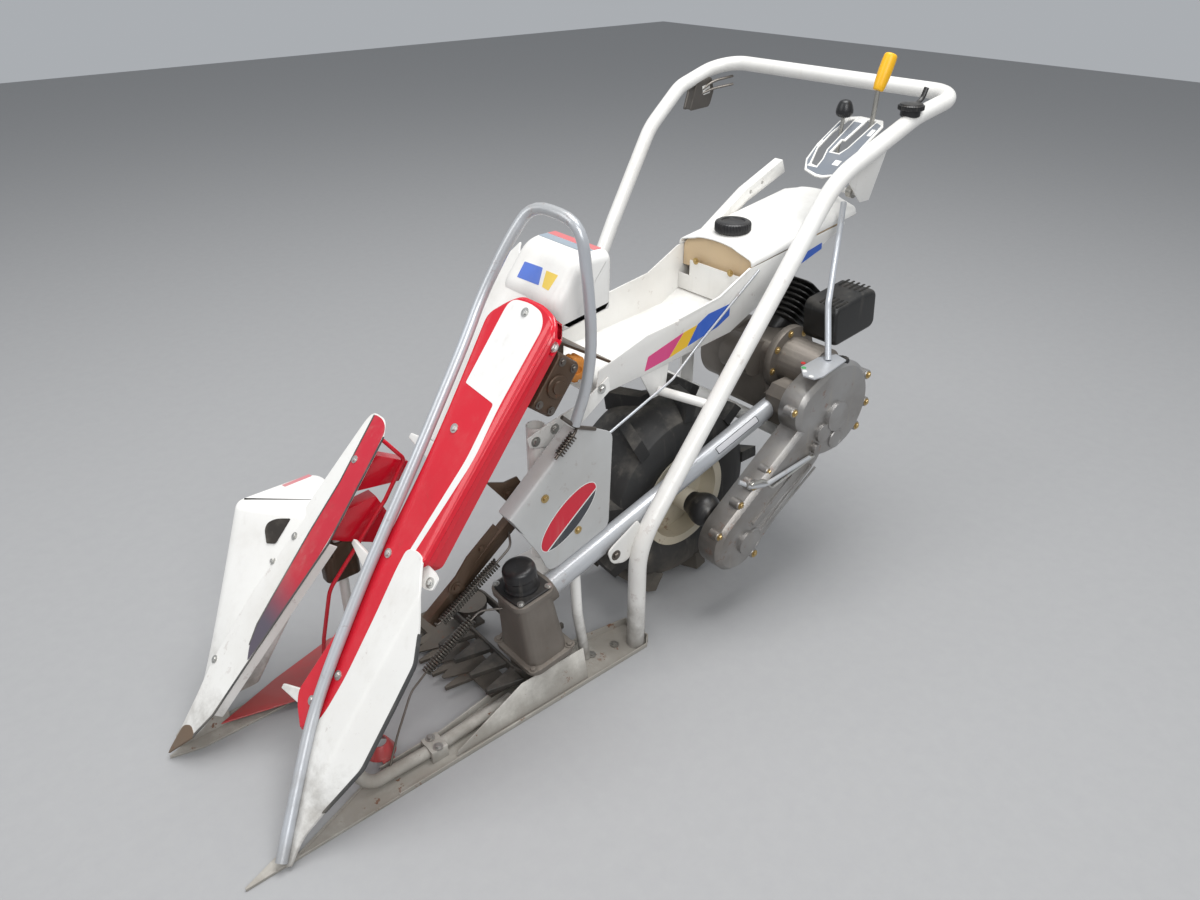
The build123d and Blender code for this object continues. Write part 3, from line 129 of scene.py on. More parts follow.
def finish(name, colour, shade, rough, dust=0.3, mud=0.8, rust=0.4, metal=0.0, coat=0.0, relief=0.02,
           streaks=0.2, chips=0.0):
    """A soiled surface: colour varies to shade in blotches and streaks, under dust, mud, rust and chips."""
    made = bpy.data.materials.new(name)
    made.use_nodes = True
    tree = made.node_tree
    shader = tree.nodes["Principled BSDF"]
    dirt = node(tree, "Group", {"Dust": dust, "Mud": mud, "Rust": rust, "Chips": chips},
                node_tree=soil).outputs
    worn = over(tree, ramp(tree, dirt["Blotch"], 0.38, 0.78, 0.8), rgb(*colour), rgb(*shade))
    worn = over(tree, ramp(tree, dirt["Streak"], 0.55, 0.85, streaks), worn, dust_colour)
    worn = over(tree, dirt["Dust"], worn, dust_colour)
    if chips:
        worn = over(tree, dirt["Chips"], worn, chip_colour)
    worn = over(tree, dirt["Mud"], worn, mud_colour)
    worn = over(tree, dirt["Rust"], worn, rust_colour)
    tree.links.new(worn, shader.inputs["Base Color"])
    dulled = sums(tree, "MULTIPLY_ADD", dirt["Dust"], dulling, rough)
    dulled = sums(tree, "MULTIPLY_ADD", dirt["Mud"], dulling, dulled)
    tree.links.new(sums(tree, "MINIMUM", dulled, 0.95), shader.inputs["Roughness"])
    if metal:
        clean = sums(tree, "SUBTRACT", 1.0, dirt["Rust"])
        tree.links.new(sums(tree, "MULTIPLY", clean, metal), shader.inputs["Metallic"])
    shader.inputs["Coat Weight"].default_value = coat
    lumps = node(tree, "Bump", {"Height": dirt["Grain"], "Strength": 0.35, "Distance": relief * 0.01})
    tree.links.new(lumps.outputs[0], shader.inputs["Normal"])
    return made


def add_mesh(name, points, faces, *finishes, body="machine", stands_for=(), crease=35.0):
    """A piece from points in millimetres and faces, turned outward, its edges over crease degrees sharp."""
    mesh = bpy.data.meshes.new(name)
    mesh.from_pydata((np.asarray(points, float) * mm).tolist(), [], faces)
    for finishing in finishes:
        mesh.materials.append(finishing)
    work = bmesh.new()
    work.from_mesh(mesh)
    bmesh.ops.recalc_face_normals(work, faces=work.faces)
    work.to_mesh(mesh)
    work.free()
    mesh.polygons.foreach_set("use_smooth", [True] * len(mesh.polygons))
    mesh.set_sharp_from_angle(angle=radians(crease))
    piece = bpy.data.objects.new(name, mesh)
    bpy.context.scene.collection.objects.link(piece)
    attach(piece, body)
    if stands_for:
        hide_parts(*stands_for)
    return piece


def eased(node_name, width, finishing, segments=2, body="machine"):
    """A copy of a CAD node, its edges rounded over a width as pressing and casting leave them."""
    mesh = parts[node_name].data.copy()
    mesh.name = node_name + "_eased"
    work = bmesh.new()
    work.from_mesh(mesh)
    bmesh.ops.remove_doubles(work, verts=work.verts, dist=2e-5)
    bmesh.ops.dissolve_limit(work, angle_limit=radians(0.8), verts=work.verts, edges=work.edges)
    work.to_mesh(mesh)
    work.free()
    mesh.materials.clear()
    mesh.materials.append(finishing)
    mesh.polygons.foreach_set("use_smooth", [True] * len(mesh.polygons))
    piece = bpy.data.objects.new(node_name + "_eased", mesh)
    bpy.context.scene.collection.objects.link(piece)
    rounding = piece.modifiers.new("rounding", "BEVEL")
    rounding.width = width * mm
    rounding.segments = segments
    rounding.limit_method = "ANGLE"
    rounding.angle_limit = radians(30)
    rounding.harden_normals = True
    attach(piece, body)
    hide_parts(node_name)
    return piece


def grid_faces(rows, columns, around=False, start=0):
    """Quads between neighbouring rows of a grid of points; around closes each row on itself."""
    i, j = np.meshgrid(np.arange(rows - 1), np.arange(columns if around else columns - 1), indexing="ij")
    a, b = i * columns + j, i * columns + (j + 1) % columns
    return (start + np.stack([a, b, b + columns, a + columns], -1)).reshape(-1, 4).tolist()


def unit(vectors):
    """Vectors divided by their lengths."""
    return vectors / np.maximum(np.linalg.norm(vectors, axis=-1, keepdims=True), 1e-9)


def bolts(name, spots, ahead, across, *finishes, washer=1.0, **more):
    """
    Hexagon heads on washers, set at every spot: circles of points from the washer up, their radius divided by
    the cosine of the angle from the middle of a flat where the head is a hexagon.
    """
    ahead = unit(np.array(ahead, float))
    side = unit(np.cross(ahead, (0.31, 0.17, 0.93)))
    other = np.cross(ahead, side)
    points_round = 24
    turn = np.linspace(0, 2 * pi, points_round, endpoint=False)
    six = cos(pi / 6) / np.cos(turn % (pi / 3) - pi / 6)
    half = across / 2
    profile = np.array([  # radius, height, share of the hexagon
        (washer * half * 1.75, -1.0, 0), (washer * half * 1.75, 1.3, 0), (half * 1.1, 1.4, 1),
        (half * 1.08, 1.4 + 0.42 * half, 1), (half * 0.92, 1.4 + 0.62 * half, 0.6),
        (0.01, 1.4 + 0.7 * half, 0)])
    radius = profile[:, :1] * (1 + profile[:, 2:] * (six - 1))
    head = radius[..., None] * (np.cos(turn)[:, None] * side + np.sin(turn)[:, None] * other)
    head = (head + profile[:, 1, None, None] * ahead).reshape(-1, 3)
    spots = np.array(spots, float)
    starts = np.arange(len(spots)) * len(head)
    faces = np.array(grid_faces(len(profile), points_round, around=True))
    faces = (faces[None] + starts[:, None, None]).reshape(-1, 4).tolist()
    faces += [list(range(start, start + points_round)) for start in starts.tolist()]
    faces += [list(range(end - points_round, end)) for end in (starts + len(head)).tolist()]
    return add_mesh(name, (head[None] + spots[:, None]).reshape(-1, 3), faces, *finishes, **more)


white = finish("white_enamel", (0.80, 0.79, 0.76), (0.70, 0.68, 0.64), 0.33, 0.22, 0.75, 0.2, coat=0.15,
               chips=0.15)
skid_white = finish("skid_enamel", (0.66, 0.64, 0.59), (0.42, 0.385, 0.33), 0.42, 0.45, 0.65, 0.9, chips=0.6,
                    streaks=0.5)
bright = finish("bright_zinc", (0.60, 0.60, 0.58), (0.45, 0.43, 0.38), 0.30, 0.3, 0.5, 0.4, metal=0.9)
for name, width in (("left_skid", 1.2), ("skid_guard", 1.0), ("front_tube", 0.8), ("right_skid", 1.0)):
    eased(name, width, skid_white)
bolts("skid_bolts", [(150, 360, 5), (208, 352, 4), (604, 349, 31.2), (604, 377, 31.2)], (0, 0, 1), 11, bright)
eased("skid_strut", 1, white)
bolts("strut_clamp_bolt", [(110, 350, 285)], (0, 1, 0), 12, bright)

# Lifting case: a red back pan and a folded red cover over the finger chain, both enamelled steel with deep
# side walls. A white panel is painted on its front. Five bolts hold the cover, and two small tabs stand at
# its left edge.
red = finish("red_enamel", (0.62, 0.006, 0.022), (0.50, 0.005, 0.016), 0.24, 0.07, 0.5, 0.1, coat=0.4,
             streaks=0.06)
stripe_white = finish("stripe_white", (0.82, 0.81, 0.79), (0.76, 0.75, 0.72), 0.30, 0.15, 0.5, 0.05, coat=0.3)


def eased_line(corners, reach, closed=False, steps=6):
    """The line through corners, each a parabola that starts a reach before it and ends a reach past it."""
    corner = np.array(corners, float)
    back, ahead = np.roll(corner, 1, 0) - corner, np.roll(corner, -1, 0) - corner
    cut_back = np.minimum(np.broadcast_to(reach, len(corner)), 0.46 * np.linalg.norm(back, axis=1))[:, None]
    cut_ahead = np.minimum(np.broadcast_to(reach, len(corner)), 0.46 * np.linalg.norm(ahead, axis=1))[:, None]
    if not closed:
        cut_back[[0, -1]] = cut_ahead[[0, -1]] = 0
    t = np.linspace(0, 1, steps)[None, :, None]
    first, last = corner + unit(back) * cut_back, corner + unit(ahead) * cut_ahead
    line = ((1 - t) ** 2 * first[:, None] + 2 * t * (1 - t) * corner[:, None] + t ** 2 * last[:, None])
    line = line.reshape(-1, corner.shape[1])
    apart = np.linalg.norm(line - np.roll(line, 1, 0), axis=1) > 1e-3
    apart[0] = apart[0] or not closed
    return line[apart]


def leaning(x, y, z, slope):
    """Place of a leaning sheet: origin, then up the slope, to the machine's right, and out of its face."""
    c, s = cos(radians(slope)), sin(radians(slope))
    return np.array([(x, y, z), (-c, 0, s), (0, -1, 0), (s, 0, c)], float)


def on(place, spots):
    """Points in space from places on a sheet, (along, across, height); a height left out is 0."""
    spots = np.array([(*spot, 0.0)[:3] for spot in spots], float) if isinstance(spots, list) else spots
    return place[0] + spots @ place[1:]


def edge_distance(spots, outline):
    """How far each spot lies from an outline: the least distance to any of its straight stretches."""
    start, run = outline, np.roll(outline, -1, 0) - outline
    away = spots[:, None] - start[None]
    share = np.clip((away * run).sum(-1) / (run * run).sum(-1), 0, 1)
    return np.linalg.norm(away - share[..., None] * run, axis=-1).min(1)


def press(name, place, outline, *finishes, rise=None, edge=0.0, walls=((0.0, -3.0),), follow=False, lift=0.0,
          bend=None, columns=18, step=14.0, **more):
    """
    A pressed sheet inside an outline. Rows run across it, each from one side of the outline to the other,
    closer together near the edges. rise(along, across) lifts the face, and within edge of the outline it
    falls away on a quarter circle. walls are rings (outward, height) from the face's rim down to the flat or
    following back.
    """
    outline = np.array(outline, float)
    low, high = outline[:, 0].argmin(), outline[:, 0].argmax()
    turned = np.roll(outline, -low, 0)
    top = (high - low) % len(outline)
    one, two = turned[:top + 1], np.vstack([turned[:1], turned[top:][::-1]])
    a0, a1 = outline[low, 0] + 0.05, outline[high, 0] - 0.05
    near = np.array([0.0, 0.6, 1.6, 3.0, 5.0, 8.0]) if edge else np.array([0.0])
    rows = np.concatenate([outline[:, 0], np.linspace(a0, a1, max(3, int((a1 - a0) / step))), a0 + near,
                           a1 - near])
    rows = np.unique(np.round(np.clip(rows, a0, a1), 2))
    share = (1 - np.cos(np.linspace(0, pi, columns))) / 2
    left, right = np.interp(rows, one[:, 0], one[:, 1]), np.interp(rows, two[:, 0], two[:, 1])
    across = left[:, None] + (right - left)[:, None] * share
    along = np.broadcast_to(rows[:, None], across.shape)
    lifted = rise(along, across) + lift if rise else np.full(across.shape, lift)
    count = len(rows)
    number = np.arange(count * columns).reshape(count, columns)
    rim = np.concatenate([number[0], number[1:, -1], number[-1, -2::-1], number[-2:0:-1, 0]])
    flat = np.stack([along, across], -1).reshape(-1, 2)
    face_height = lifted.reshape(-1)
    if edge:
        inside = np.minimum(edge_distance(flat, outline), edge)
        face_height = face_height - (edge - np.sqrt(edge ** 2 - (edge - inside) ** 2))
    border = flat[rim]
    tangent = np.roll(border, -1, 0) - np.roll(border, 1, 0)
    outward = unit(np.stack([tangent[:, 1], -tangent[:, 0]], -1))
    if ((border - border.mean(0)) * outward).sum() < 0:
        outward = -outward
    base = lifted.reshape(-1)[rim] if follow else 0.0
    sheets = [np.column_stack([flat, face_height])]
    sheets += [np.column_stack([border + outward * out, base + down + np.zeros(len(rim))])
               for out, down in walls]
    back_height = (lifted.reshape(-1) if follow else np.zeros(len(flat))) + walls[-1][1]
    back = np.column_stack([flat, back_height])
    back[rim] = sheets[-1]
    points = np.vstack(sheets[:-1] + [back])
    faces = grid_faces(count, columns)
    loops = [rim] + [len(flat) + k * len(rim) + np.arange(len(rim)) for k in range(len(walls) - 1)]
    last = len(flat) + (len(walls) - 1) * len(rim)
    loops.append(last + rim)
    for upper, lower in zip(loops, loops[1:]):
        faces += np.stack([upper, np.roll(upper, -1), np.roll(lower, -1), lower], -1).tolist()
    faces += np.array(grid_faces(count, columns, start=last))[:, ::-1].tolist()
    if bend:
        points = bend(points)
    return add_mesh(name, on(place, points), faces, *finishes, **more)


case = leaning(915, 408, 15, 51.5)


def wall_depth(points):
    """The side walls deepen from the top of the case down to its waist and get shallow again at the nose."""
    share = np.interp(points[:, 0], [200, 380, 540, 960, 982], [0.5, 0.6, 1.08, 0.70, 0.3])
    wall = np.minimum(points[:, 2] + 3.0, 0)
    return np.column_stack([points[:, :2], points[:, 2] - wall * (1 - share)])


def cover_rise(along, across):
    """The cover's face is flat, and a soft valley right of the stripe parts it from its rounded shoulder."""
    valley = np.exp(-((across - 55 + 0.012 * (along - 540)) / 4.5) ** 2) * (along > 545)
    return -2.2 * valley


cover_outline = eased_line([(164, 132), (208, 92), (294, 82), (411, 84), (500, 92), (530, 60), (541, 50),
                            (760, 43), (977, 36), (1003, 55), (1013, 92), (1013, 148), (996, 174), (962, 209),
                            (705, 170), (393, 160), (208, 185), (187, 168)],
                           [4, 20, 30, 30, 10, 4, 8, 200, 16, 14, 14, 14, 14, 18, 120, 60, 12, 10],
                           closed=True)
side_walls = ((0.0, -3.5), (2.5, -8.0), (0.6, -10.5), (2.8, -19.0), (0.8, -21.0), (1.5, -40.0))
press("case_cover", case, cover_outline, red, rise=cover_rise, edge=3.5, walls=side_walls, columns=44,
      bend=wall_depth, stands_for=("red_covers",))
white_block = eased_line([(836, 171), (988, 171), (1000, 164), (1005, 153), (1009, 118), (1004, 84),
                          (991, 69), (976, 62), (825, 66), (733, 59), (541, 82), (539, 95), (725, 76),
                          (829, 81), (830, 92)],
                         [3, 14, 8, 8, 16, 12, 10, 10, 30, 30, 2, 2, 20, 6, 3], closed=True)
press("white_block", case, white_block, stripe_white, rise=cover_rise, lift=0.3, walls=((0.0, -0.4),),
      follow=True, columns=30)
bolts("cover_bolts", on(case, [(991, 119), (758, 141), (511, 141), (287, 107), (217, 138)]), case[3], 10,
      bright)
low_tab = eased_line([(500, 66), (503, 28), (509, 14), (531, 14), (536, 28), (538, 66)], [2, 4, 5, 5, 4, 2],
                     closed=True)
press("cover_tab", case, low_tab, white, lift=-14, walls=((0.0, -17.0),), columns=8)
side_tab = eased_line([(946, 50), (946, 26), (976, 26), (976, 50)], 3, closed=True)
press("side_tab", case, side_tab, red, lift=-16, walls=((0.0, -19.0),), columns=8)
bolts("tab_bolts", on(case, [(517, 27, -14), (961, 33, -16)]), case[3], 11, bright)

case_pan = eased("case_pan", 1.5, red)
pan_points = np.empty(len(case_pan.data.vertices) * 3)
case_pan.data.vertices.foreach_get("co", pan_points)
pan_local = (pan_points.reshape(-1, 3) / mm - case[0]) @ case[1:].T
pan_left = np.interp(pan_local[:, 0], [120, 540, 979, 1003], [66, 62, 36, 54])
cover_depth, wall_width, wall_lean = 27.0, 20.0, 1.05      # the left wall leans in below the cover's edge
near_wall = np.clip(1 - (pan_local[:, 1] - pan_left) / wall_width, 0, 1)
pan_local[:, 1] += np.maximum(-cover_depth - pan_local[:, 2], 0) * near_wall * wall_lean
case_pan.data.vertices.foreach_set("co", (on(case, pan_local) * mm).ravel())

# Guide tube: a bent steel tube in silver paint, its blue grey tint partly painted sky reflection, held by a
# latch at the nose. It runs up the front of the case, loops over its top and comes down behind the case to
# the gearbox.
# Silver paint: a pale grey whose blue tint is partly painted sky reflection.
silver_sky_tinted = finish("silver_paint", (0.50, 0.52, 0.55), (0.42, 0.42, 0.41), 0.28, 0.2, 0.5, 0.3, metal=0.3)
steel = finish("bare_steel", (0.17, 0.155, 0.14), (0.09, 0.065, 0.048), 0.40, 0.2, 0.6, 0.7, metal=0.75,
               relief=0.05)


def paint(finishing, nodes):
    """Gives CAD nodes a finish."""
    for name in nodes.split():
        parts[name].data.materials.clear()
        parts[name].data.materials.append(finishing)


def rings(centre, side, other, radius, points_round):
    """A circle of points about each centre: its cosine goes along side and its sine along other."""
    turn = np.linspace(0, 2 * pi, points_round, endpoint=False)[:, None]
    return centre[:, None] + radius * (np.cos(turn) * side[:, None] + np.sin(turn) * other[:, None])


def end_faces(rows, columns):
    """The first and the last row of a grid of points, each as one face that closes it."""
    return [list(range(columns)), list(range((rows - 1) * columns, rows * columns))]


def rod(name, corners, radius, *finishes, reach=20.0, points_round=12, flat=1.0, **more):
    """A bar along corners joined by eased bends: circles of points, or flat ones, carried along the line."""
    line = eased_line(corners, reach)
    ahead = unit(np.gradient(line, axis=0))
    side = unit(np.cross(ahead, (0.13, 0.31, 0.94)))
    shape = rings(line, side, np.cross(ahead, side) * flat, radius, points_round)
    faces = grid_faces(len(line), points_round, around=True) + end_faces(len(line), points_round)
    return add_mesh(name, shape.reshape(-1, 3), faces, *finishes, **more)


tube_radius, tube_height = 10.5, 10.8      # the height is from the cover's face to the tube's middle
pipe_spots = [(-6, 0), (120, 64), (201, 101), (268, 120), (375, 141), (486, 159), (656, 178), (901, 213),
              (985, 231)]
pipe_line = on(case, [(*spot, tube_height) for spot in pipe_spots]).tolist()
pipe_line += [(256, 190, 884), (213, 205, 944), (206, 330, 937), (186, 334, 741), (200, 336, 640),
              (228, 331, 564)]
pipe_bends = [1, 60, 40, 60, 60, 60, 90, 60, 60, 40, 50, 50, 120, 60, 1]
rod("guide_tube", pipe_line, tube_radius, silver_sky_tinted, reach=pipe_bends, points_round=20,
    stands_for=("guide_pipe",))
paint(steel, "pipe_latch")

# Nose sheet: a thin white enamelled blade below the cover, which parts the standing stalks. It is folded back
# along a line that changes over its length, and a dark strip runs along its left edge.
dark_trim = finish("dark_trim", (0.05, 0.05, 0.05), (0.09, 0.085, 0.08), 0.5, 0.4, 0.5, 0.0)
fold_turn, fold_soft = radians(42), 3.0


def fold_back(points):
    """Past the fold line the blade turns back: a smooth minimum takes what is beyond and tilts it down."""
    fold = np.interp(points[:, 0], [-4, 89, 308, 492, 537], [-14, 22, 24, 20, 14])
    past = points[:, 1] - fold
    beyond = (past - np.sqrt(past ** 2 + fold_soft ** 2)) / 2
    return np.column_stack([points[:, 0], points[:, 1] - beyond * (1 - cos(fold_turn)),
                            points[:, 2] + beyond * sin(fold_turn)])


blade_outline = eased_line([(535, 102), (543, 95), (549, 76), (547, 57), (526, 44), (509, 31), (488, 17),
                            (436, -9), (386, -27), (186, -32), (89, -8), (40, -3), (-4, -12), (-13, -4),
                            (60, 30), (118, 96), (161, 118), (210, 92), (294, 87), (411, 94), (500, 102)],
                           [6, 6, 10, 10, 12, 14, 20, 30, 30, 50, 20, 14, 2, 2, 20, 14, 14, 30, 30, 20, 10],
                           closed=True)
press("nose_sheet", case, blade_outline, white, edge=1.0, walls=((0.0, -2.6),), lift=1.6, bend=fold_back,
      columns=40, stands_for=("nose_blade",))
trim_outline = [(89, -9.5), (186, -33.5), (386, -28.5), (436, -10.5), (436, -7), (386, -24.5), (186, -29.5),
                (89, -6)]
press("blade_trim", case, eased_line(trim_outline, 8, closed=True), dark_trim, lift=2.0, walls=((0.0, -3.0),),
      bend=fold_back)

# Finger chain: white moulded fingers with rounded tips on a roller chain. They come out of the slit between
# the cover and the pan and lift the stalks. Steel sprockets turn the chain at both ends.
moulded = finish("white_moulding", (0.82, 0.81, 0.78), (0.74, 0.72, 0.68), 0.38, 0.2, 0.8, 0.0, coat=0.1)
eased("finger_chain", 2.5, moulded, segments=3)
paint(steel, "chain_sprockets")

# Right divider: a narrow leaning sheet with a red stripe that turns dark purple towards its lower end, dark
# rubber along its edges, and a worn bronze tip. Four bolts hold it to the moulded cover behind.
bare_tip = finish("bare_tip", (0.22, 0.15, 0.10), (0.13, 0.085, 0.055), 0.45, 0.35, 0.4, 0.8, metal=0.6)
divider_foot, divider_slope = (990, 49, 10), 46.6
divider = leaning(*divider_foot, divider_slope)
low_dark_stripe = finish("stripe_dark_low", (0.52, 0.01, 0.03), (0.44, 0.01, 0.025), 0.34, 0.2, 0.4, 0.1, coat=0.2)
tree = low_dark_stripe.node_tree
shader = tree.nodes["Principled BSDF"]
stripe_worn = shader.inputs["Base Color"].links[0].from_socket
# Below a height the stripe turns dark purple, through a ramp on the object's height.
stripe_height = node(tree, "SeparateXYZ", {0: node(tree, "TexCoord").outputs["Object"]}).outputs[2]
low_share = ramp(tree, stripe_height, 0.33, 0.235)
tree.links.new(over(tree, low_share, stripe_worn, rgb(0.085, 0.070, 0.095)), shader.inputs["Base Color"])
divider_outline = eased_line([(3, 3), (67, -38), (121, -51), (269, -59), (505, -75), (723, -48), (751, -23),
                              (750, 16), (733, 26), (642, 34), (520, 44), (420, 50), (295, 44), (188, 40),
                              (110, 22)],
                             [2, 30, 30, 40, 60, 20, 14, 12, 14, 40, 40, 40, 40, 30, 20], closed=True)
press("divider_sheet", divider, divider_outline, white, edge=1.0, walls=((0.0, 0.0),), lift=3.0, columns=22)
divider_lip = eased_line([(121, -52), (269, -60), (505, -76), (505, -73), (269, -57), (121, -49)], 3,
                         closed=True)
press("divider_lip", divider, divider_lip, white, walls=((0.0, -18.0),), columns=4,
      stands_for=("right_divider",))
stripe_outline = eased_line([(240, -54), (300, -60), (400, -67), (505, -72), (561, -66), (690, -50),
                             (735, -43), (749, -20), (747, 12), (677, 1), (607, -8), (495, -10), (354, -18),
                             (299, -20), (262, -34)],
                            [4, 20, 40, 40, 30, 40, 16, 16, 8, 30, 30, 30, 30, 20, 16], closed=True)
press("divider_stripe", divider, stripe_outline, low_dark_stripe, lift=3.3, walls=((0.0, 2.9),), columns=14)
thin_edge = [(746, 13), (677, 4), (607, -5), (495, -7), (354, -15), (299, -19), (262, -32), (262, -35),
             (299, -22.5), (354, -18.5), (495, -10.5), (607, -8.5), (677, 0.5), (746, 9)]
press("stripe_edge", divider, eased_line(thin_edge, 2, closed=True), dark_trim, lift=3.6,
      walls=((0.0, 2.9),), columns=4)
edge_trim = [(62, -30), (121, -49), (269, -57.5), (505, -73.5), (723, -46.5), (723, -50), (505, -77),
             (269, -61), (121, -53), (62, -36)]
press("edge_trim", divider, eased_line(edge_trim, 3, closed=True), dark_trim, lift=3.7,
      walls=((0.0, 2.0),), columns=4)
tip_outline = eased_line([(2, 3), (67, -38), (74, -12), (60, 10), (14, 6)], [2, 8, 10, 10, 4], closed=True)
press("divider_tip", divider, tip_outline, bare_tip, edge=0.8, lift=3.8, walls=((0.0, 0.2),), columns=10)
bolts("divider_bolts", on(divider, [(656, -10, 3), (469, 24, 3), (404, 42, 3), (189, 34, 3)]), divider[3], 9,
      bright)

# Divider cover: a hollow white moulding outside the divider, screwed to the back of the leaning sheet. It
# swells from the skid up to a rounded shoulder and a flat top. By the sheet, a slanted opening is drawn as a
# dark patch on its face: painted shade for the moulding's inside.
cover_foot, cover_height, cover_round, corner_points = 60.0, 332.0, 15.0, 8


def cover_level(share, inset):
    """The cover's outline at a share of its height: four eased corners that spread upward, drawn in."""
    sheet_x = divider_foot[0] - (cover_foot + cover_height * share) / tan(radians(divider_slope))
    inner = 30 + 14 * share ** 3
    left = -24 - 90 * share
    corners = [(892 - 155 * share, left), (790 - 242 * share, left), (790 - 242 * share, inner),
               (sheet_x - 2, inner)]
    line = eased_line(corners, [14 + 22 * share, 14 + 34 * share, 22, 16], closed=True, steps=corner_points)
    tangent = unit(np.roll(line, -1, 0) - np.roll(line, 1, 0))
    normal = np.stack([tangent[:, 1], -tangent[:, 0]], -1)
    if ((line - line.mean(0)) * normal).sum() > 0:
        normal = -normal
    return line + normal * inset


round_share = cover_round / cover_height
round_turn = np.linspace(0, pi / 2, 10)
side_shares = np.linspace(0, 1 - round_share, 17)[:-1]
cover_shares = np.concatenate([side_shares, 1 - round_share * (1 - np.sin(round_turn))])
cover_insets = np.concatenate([0 * side_shares, cover_round * (1 - np.cos(round_turn))])
cover_sections = np.stack([cover_level(share, inset) for share, inset in zip(cover_shares, cover_insets)])
section_heights = np.broadcast_to((cover_foot + cover_height * cover_shares)[:, None],
                                  cover_sections.shape[:2])
cover_points = np.concatenate([cover_sections, section_heights[..., None]], -1)
cover_faces = grid_faces(*section_heights.shape, around=True) + end_faces(*section_heights.shape)
add_mesh("divider_moulding", cover_points.reshape(-1, 3), cover_faces, moulded, stands_for=("divider_cover",),
         crease=50)
face_place = np.array([(726.5, -68.7, 358.8), (-0.5815, 0.8135, 0), (-0.4733, -0.3384, 0.8133),
                       (0.6616, 0.473, 0.5818)])
opening = eased_line([(52, -32), (43, -6), (47, 8), (64, 18), (94, 22), (86, 4), (70, -30)],
                     [3, 8, 8, 12, 4, 10, 4], closed=True)
# The opening is not cut: a near-black patch on the face is painted shade for the inside seen through it.
inside = finish("opening_painted_shade", (0.022, 0.018, 0.015), (0.05, 0.04, 0.03), 0.8, 0.3, 0.5, 0.0)
press("cover_opening_shade", face_place, opening, inside, lift=1.6, walls=((0.0, -3.0),), columns=8)


def level(z, x=0.0, y=0.0):
    """Place of a level sheet, drawn in X and Y."""
    return np.array([(x, y, z), (1, 0, 0), (0, 1, 0), (0, 0, 1)], float)


bar_outline = eased_line([(633, -100), (574, -103), (572, -93), (631, -90)], 1, closed=True)
bar_red = finish("faded_label", (0.55, 0.20, 0.22), (0.48, 0.20, 0.21), 0.45, 0.2, 0.3, 0.0)
press("cover_bar", level(cover_foot + cover_height), bar_outline, bar_red, lift=0.4, walls=((0.0, -0.5),),
      columns=4)

# Deck and row guides: red enamelled sheets and rods between the two dividers, bolted to the cutter's bed.
# They hold the stalks upright on their way to the knotter.
for name in ("red_deck", "red_guides"):
    eased(name, 1.0, red)

# Cutter: a steel bed with pointed guards and a toothed knife that slides in it, bare and rusty. A black
# rubber belt with lugs runs above them and carries the cut stalks inward.
belt_rubber = finish("belt_rubber", (0.012, 0.012, 0.012), (0.026, 0.023, 0.02), 0.50, 0.12, 0.5, 0.0,
                     relief=0.08)
eased("knife_bed", 0.6, steel)
paint(steel, "knife")
eased("lug_belt", 1.6, belt_rubber, segments=2)

# Front gearbox: a tapered aluminium casting, greasy and brown, under a turned black rubber cap on a flange.
# It leans back a little and drives the knife and the belt.
casting = finish("raw_casting", (0.23, 0.205, 0.18), (0.12, 0.10, 0.08), 0.48, 0.3, 0.6, 0.25, metal=0.55,
                 relief=0.08)
black = finish("black_plastic", (0.014, 0.014, 0.015), (0.024, 0.022, 0.021), 0.34, 0.1, 0.5, 0.0)
gear_lean = radians(8)
gear_place = np.array([(342, 334, 97), (cos(gear_lean), 0, -sin(gear_lean)), (0, 1, 0),
                       (sin(gear_lean), 0, cos(gear_lean))])
eased("bevel_gearbox", 5.0, casting, segments=3)
flange_corners = [(-40, -46), (40, -46), (44, 0), (40, 46), (-40, 46)]
press("cap_flange", gear_place, eased_line(flange_corners, [14, 14, 8, 14, 14], closed=True), black, edge=1.5,
      lift=170.0, walls=((0.0, 166.0),), columns=12)


def turned(name, place, outline, points_round, *finishes, ribs=0, depth=0.0, **more):
    """A turned piece: (radius, height, share of the ribs) carried round the normal, rippled by its ribs."""
    profile = np.array([(*spot, 0.0)[:3] for spot in outline], float)
    turn = np.linspace(0, 2 * pi, points_round, endpoint=False)
    radius = profile[:, :1] + profile[:, 2:] * depth * np.clip(np.cos(ribs * turn) * 4, -1, 1)
    spots = np.stack([radius * np.cos(turn), radius * np.sin(turn), profile[:, 1:2] + 0 * turn], -1)
    faces = grid_faces(len(outline), points_round, around=True) + end_faces(len(outline), points_round)
    return add_mesh(name, on(place, spots.reshape(-1, 3)), faces, *finishes, **more)


dome = eased_line([(35, 168), (35, 173), (33, 178), (32.5, 196), (33.5, 199), (32, 221), (0.1, 221.5)],
                  [0, 1, 3, 1, 2, 15, 0])
turned("gear_cap", gear_place, dome, 48, black, stands_for=("bevel_cap",), crease=50)
screw_spots = on(gear_place, [(33, 40, 170), (-33, -40, 170), (33, -40, 170), (-33, 40, 170)])
bolts("cap_screws", screw_spots, gear_place[3], 8, bright)
foot_spots = on(gear_place, [(46, 58, 12), (-46, 58, 12), (46, -58, 12), (-46, -58, 12)])
bolts("gearbox_bolts", foot_spots, gear_place[3], 12, casting)

# Drive tube and linkage: silver painted tubes between the gearbox and the gear case, their blue grey tint
# partly painted sky reflection. A white sheet bracket stands off the tube on a steel spacer and bolt.
def facing_left(y, x=0.0, z=0.0):
    """Place of an upright sheet or disc seen from the machine's left, drawn in X and Z."""
    return np.array([(x, y, z), (1, 0, 0), (0, 0, 1), (0, 1, 0)], float)


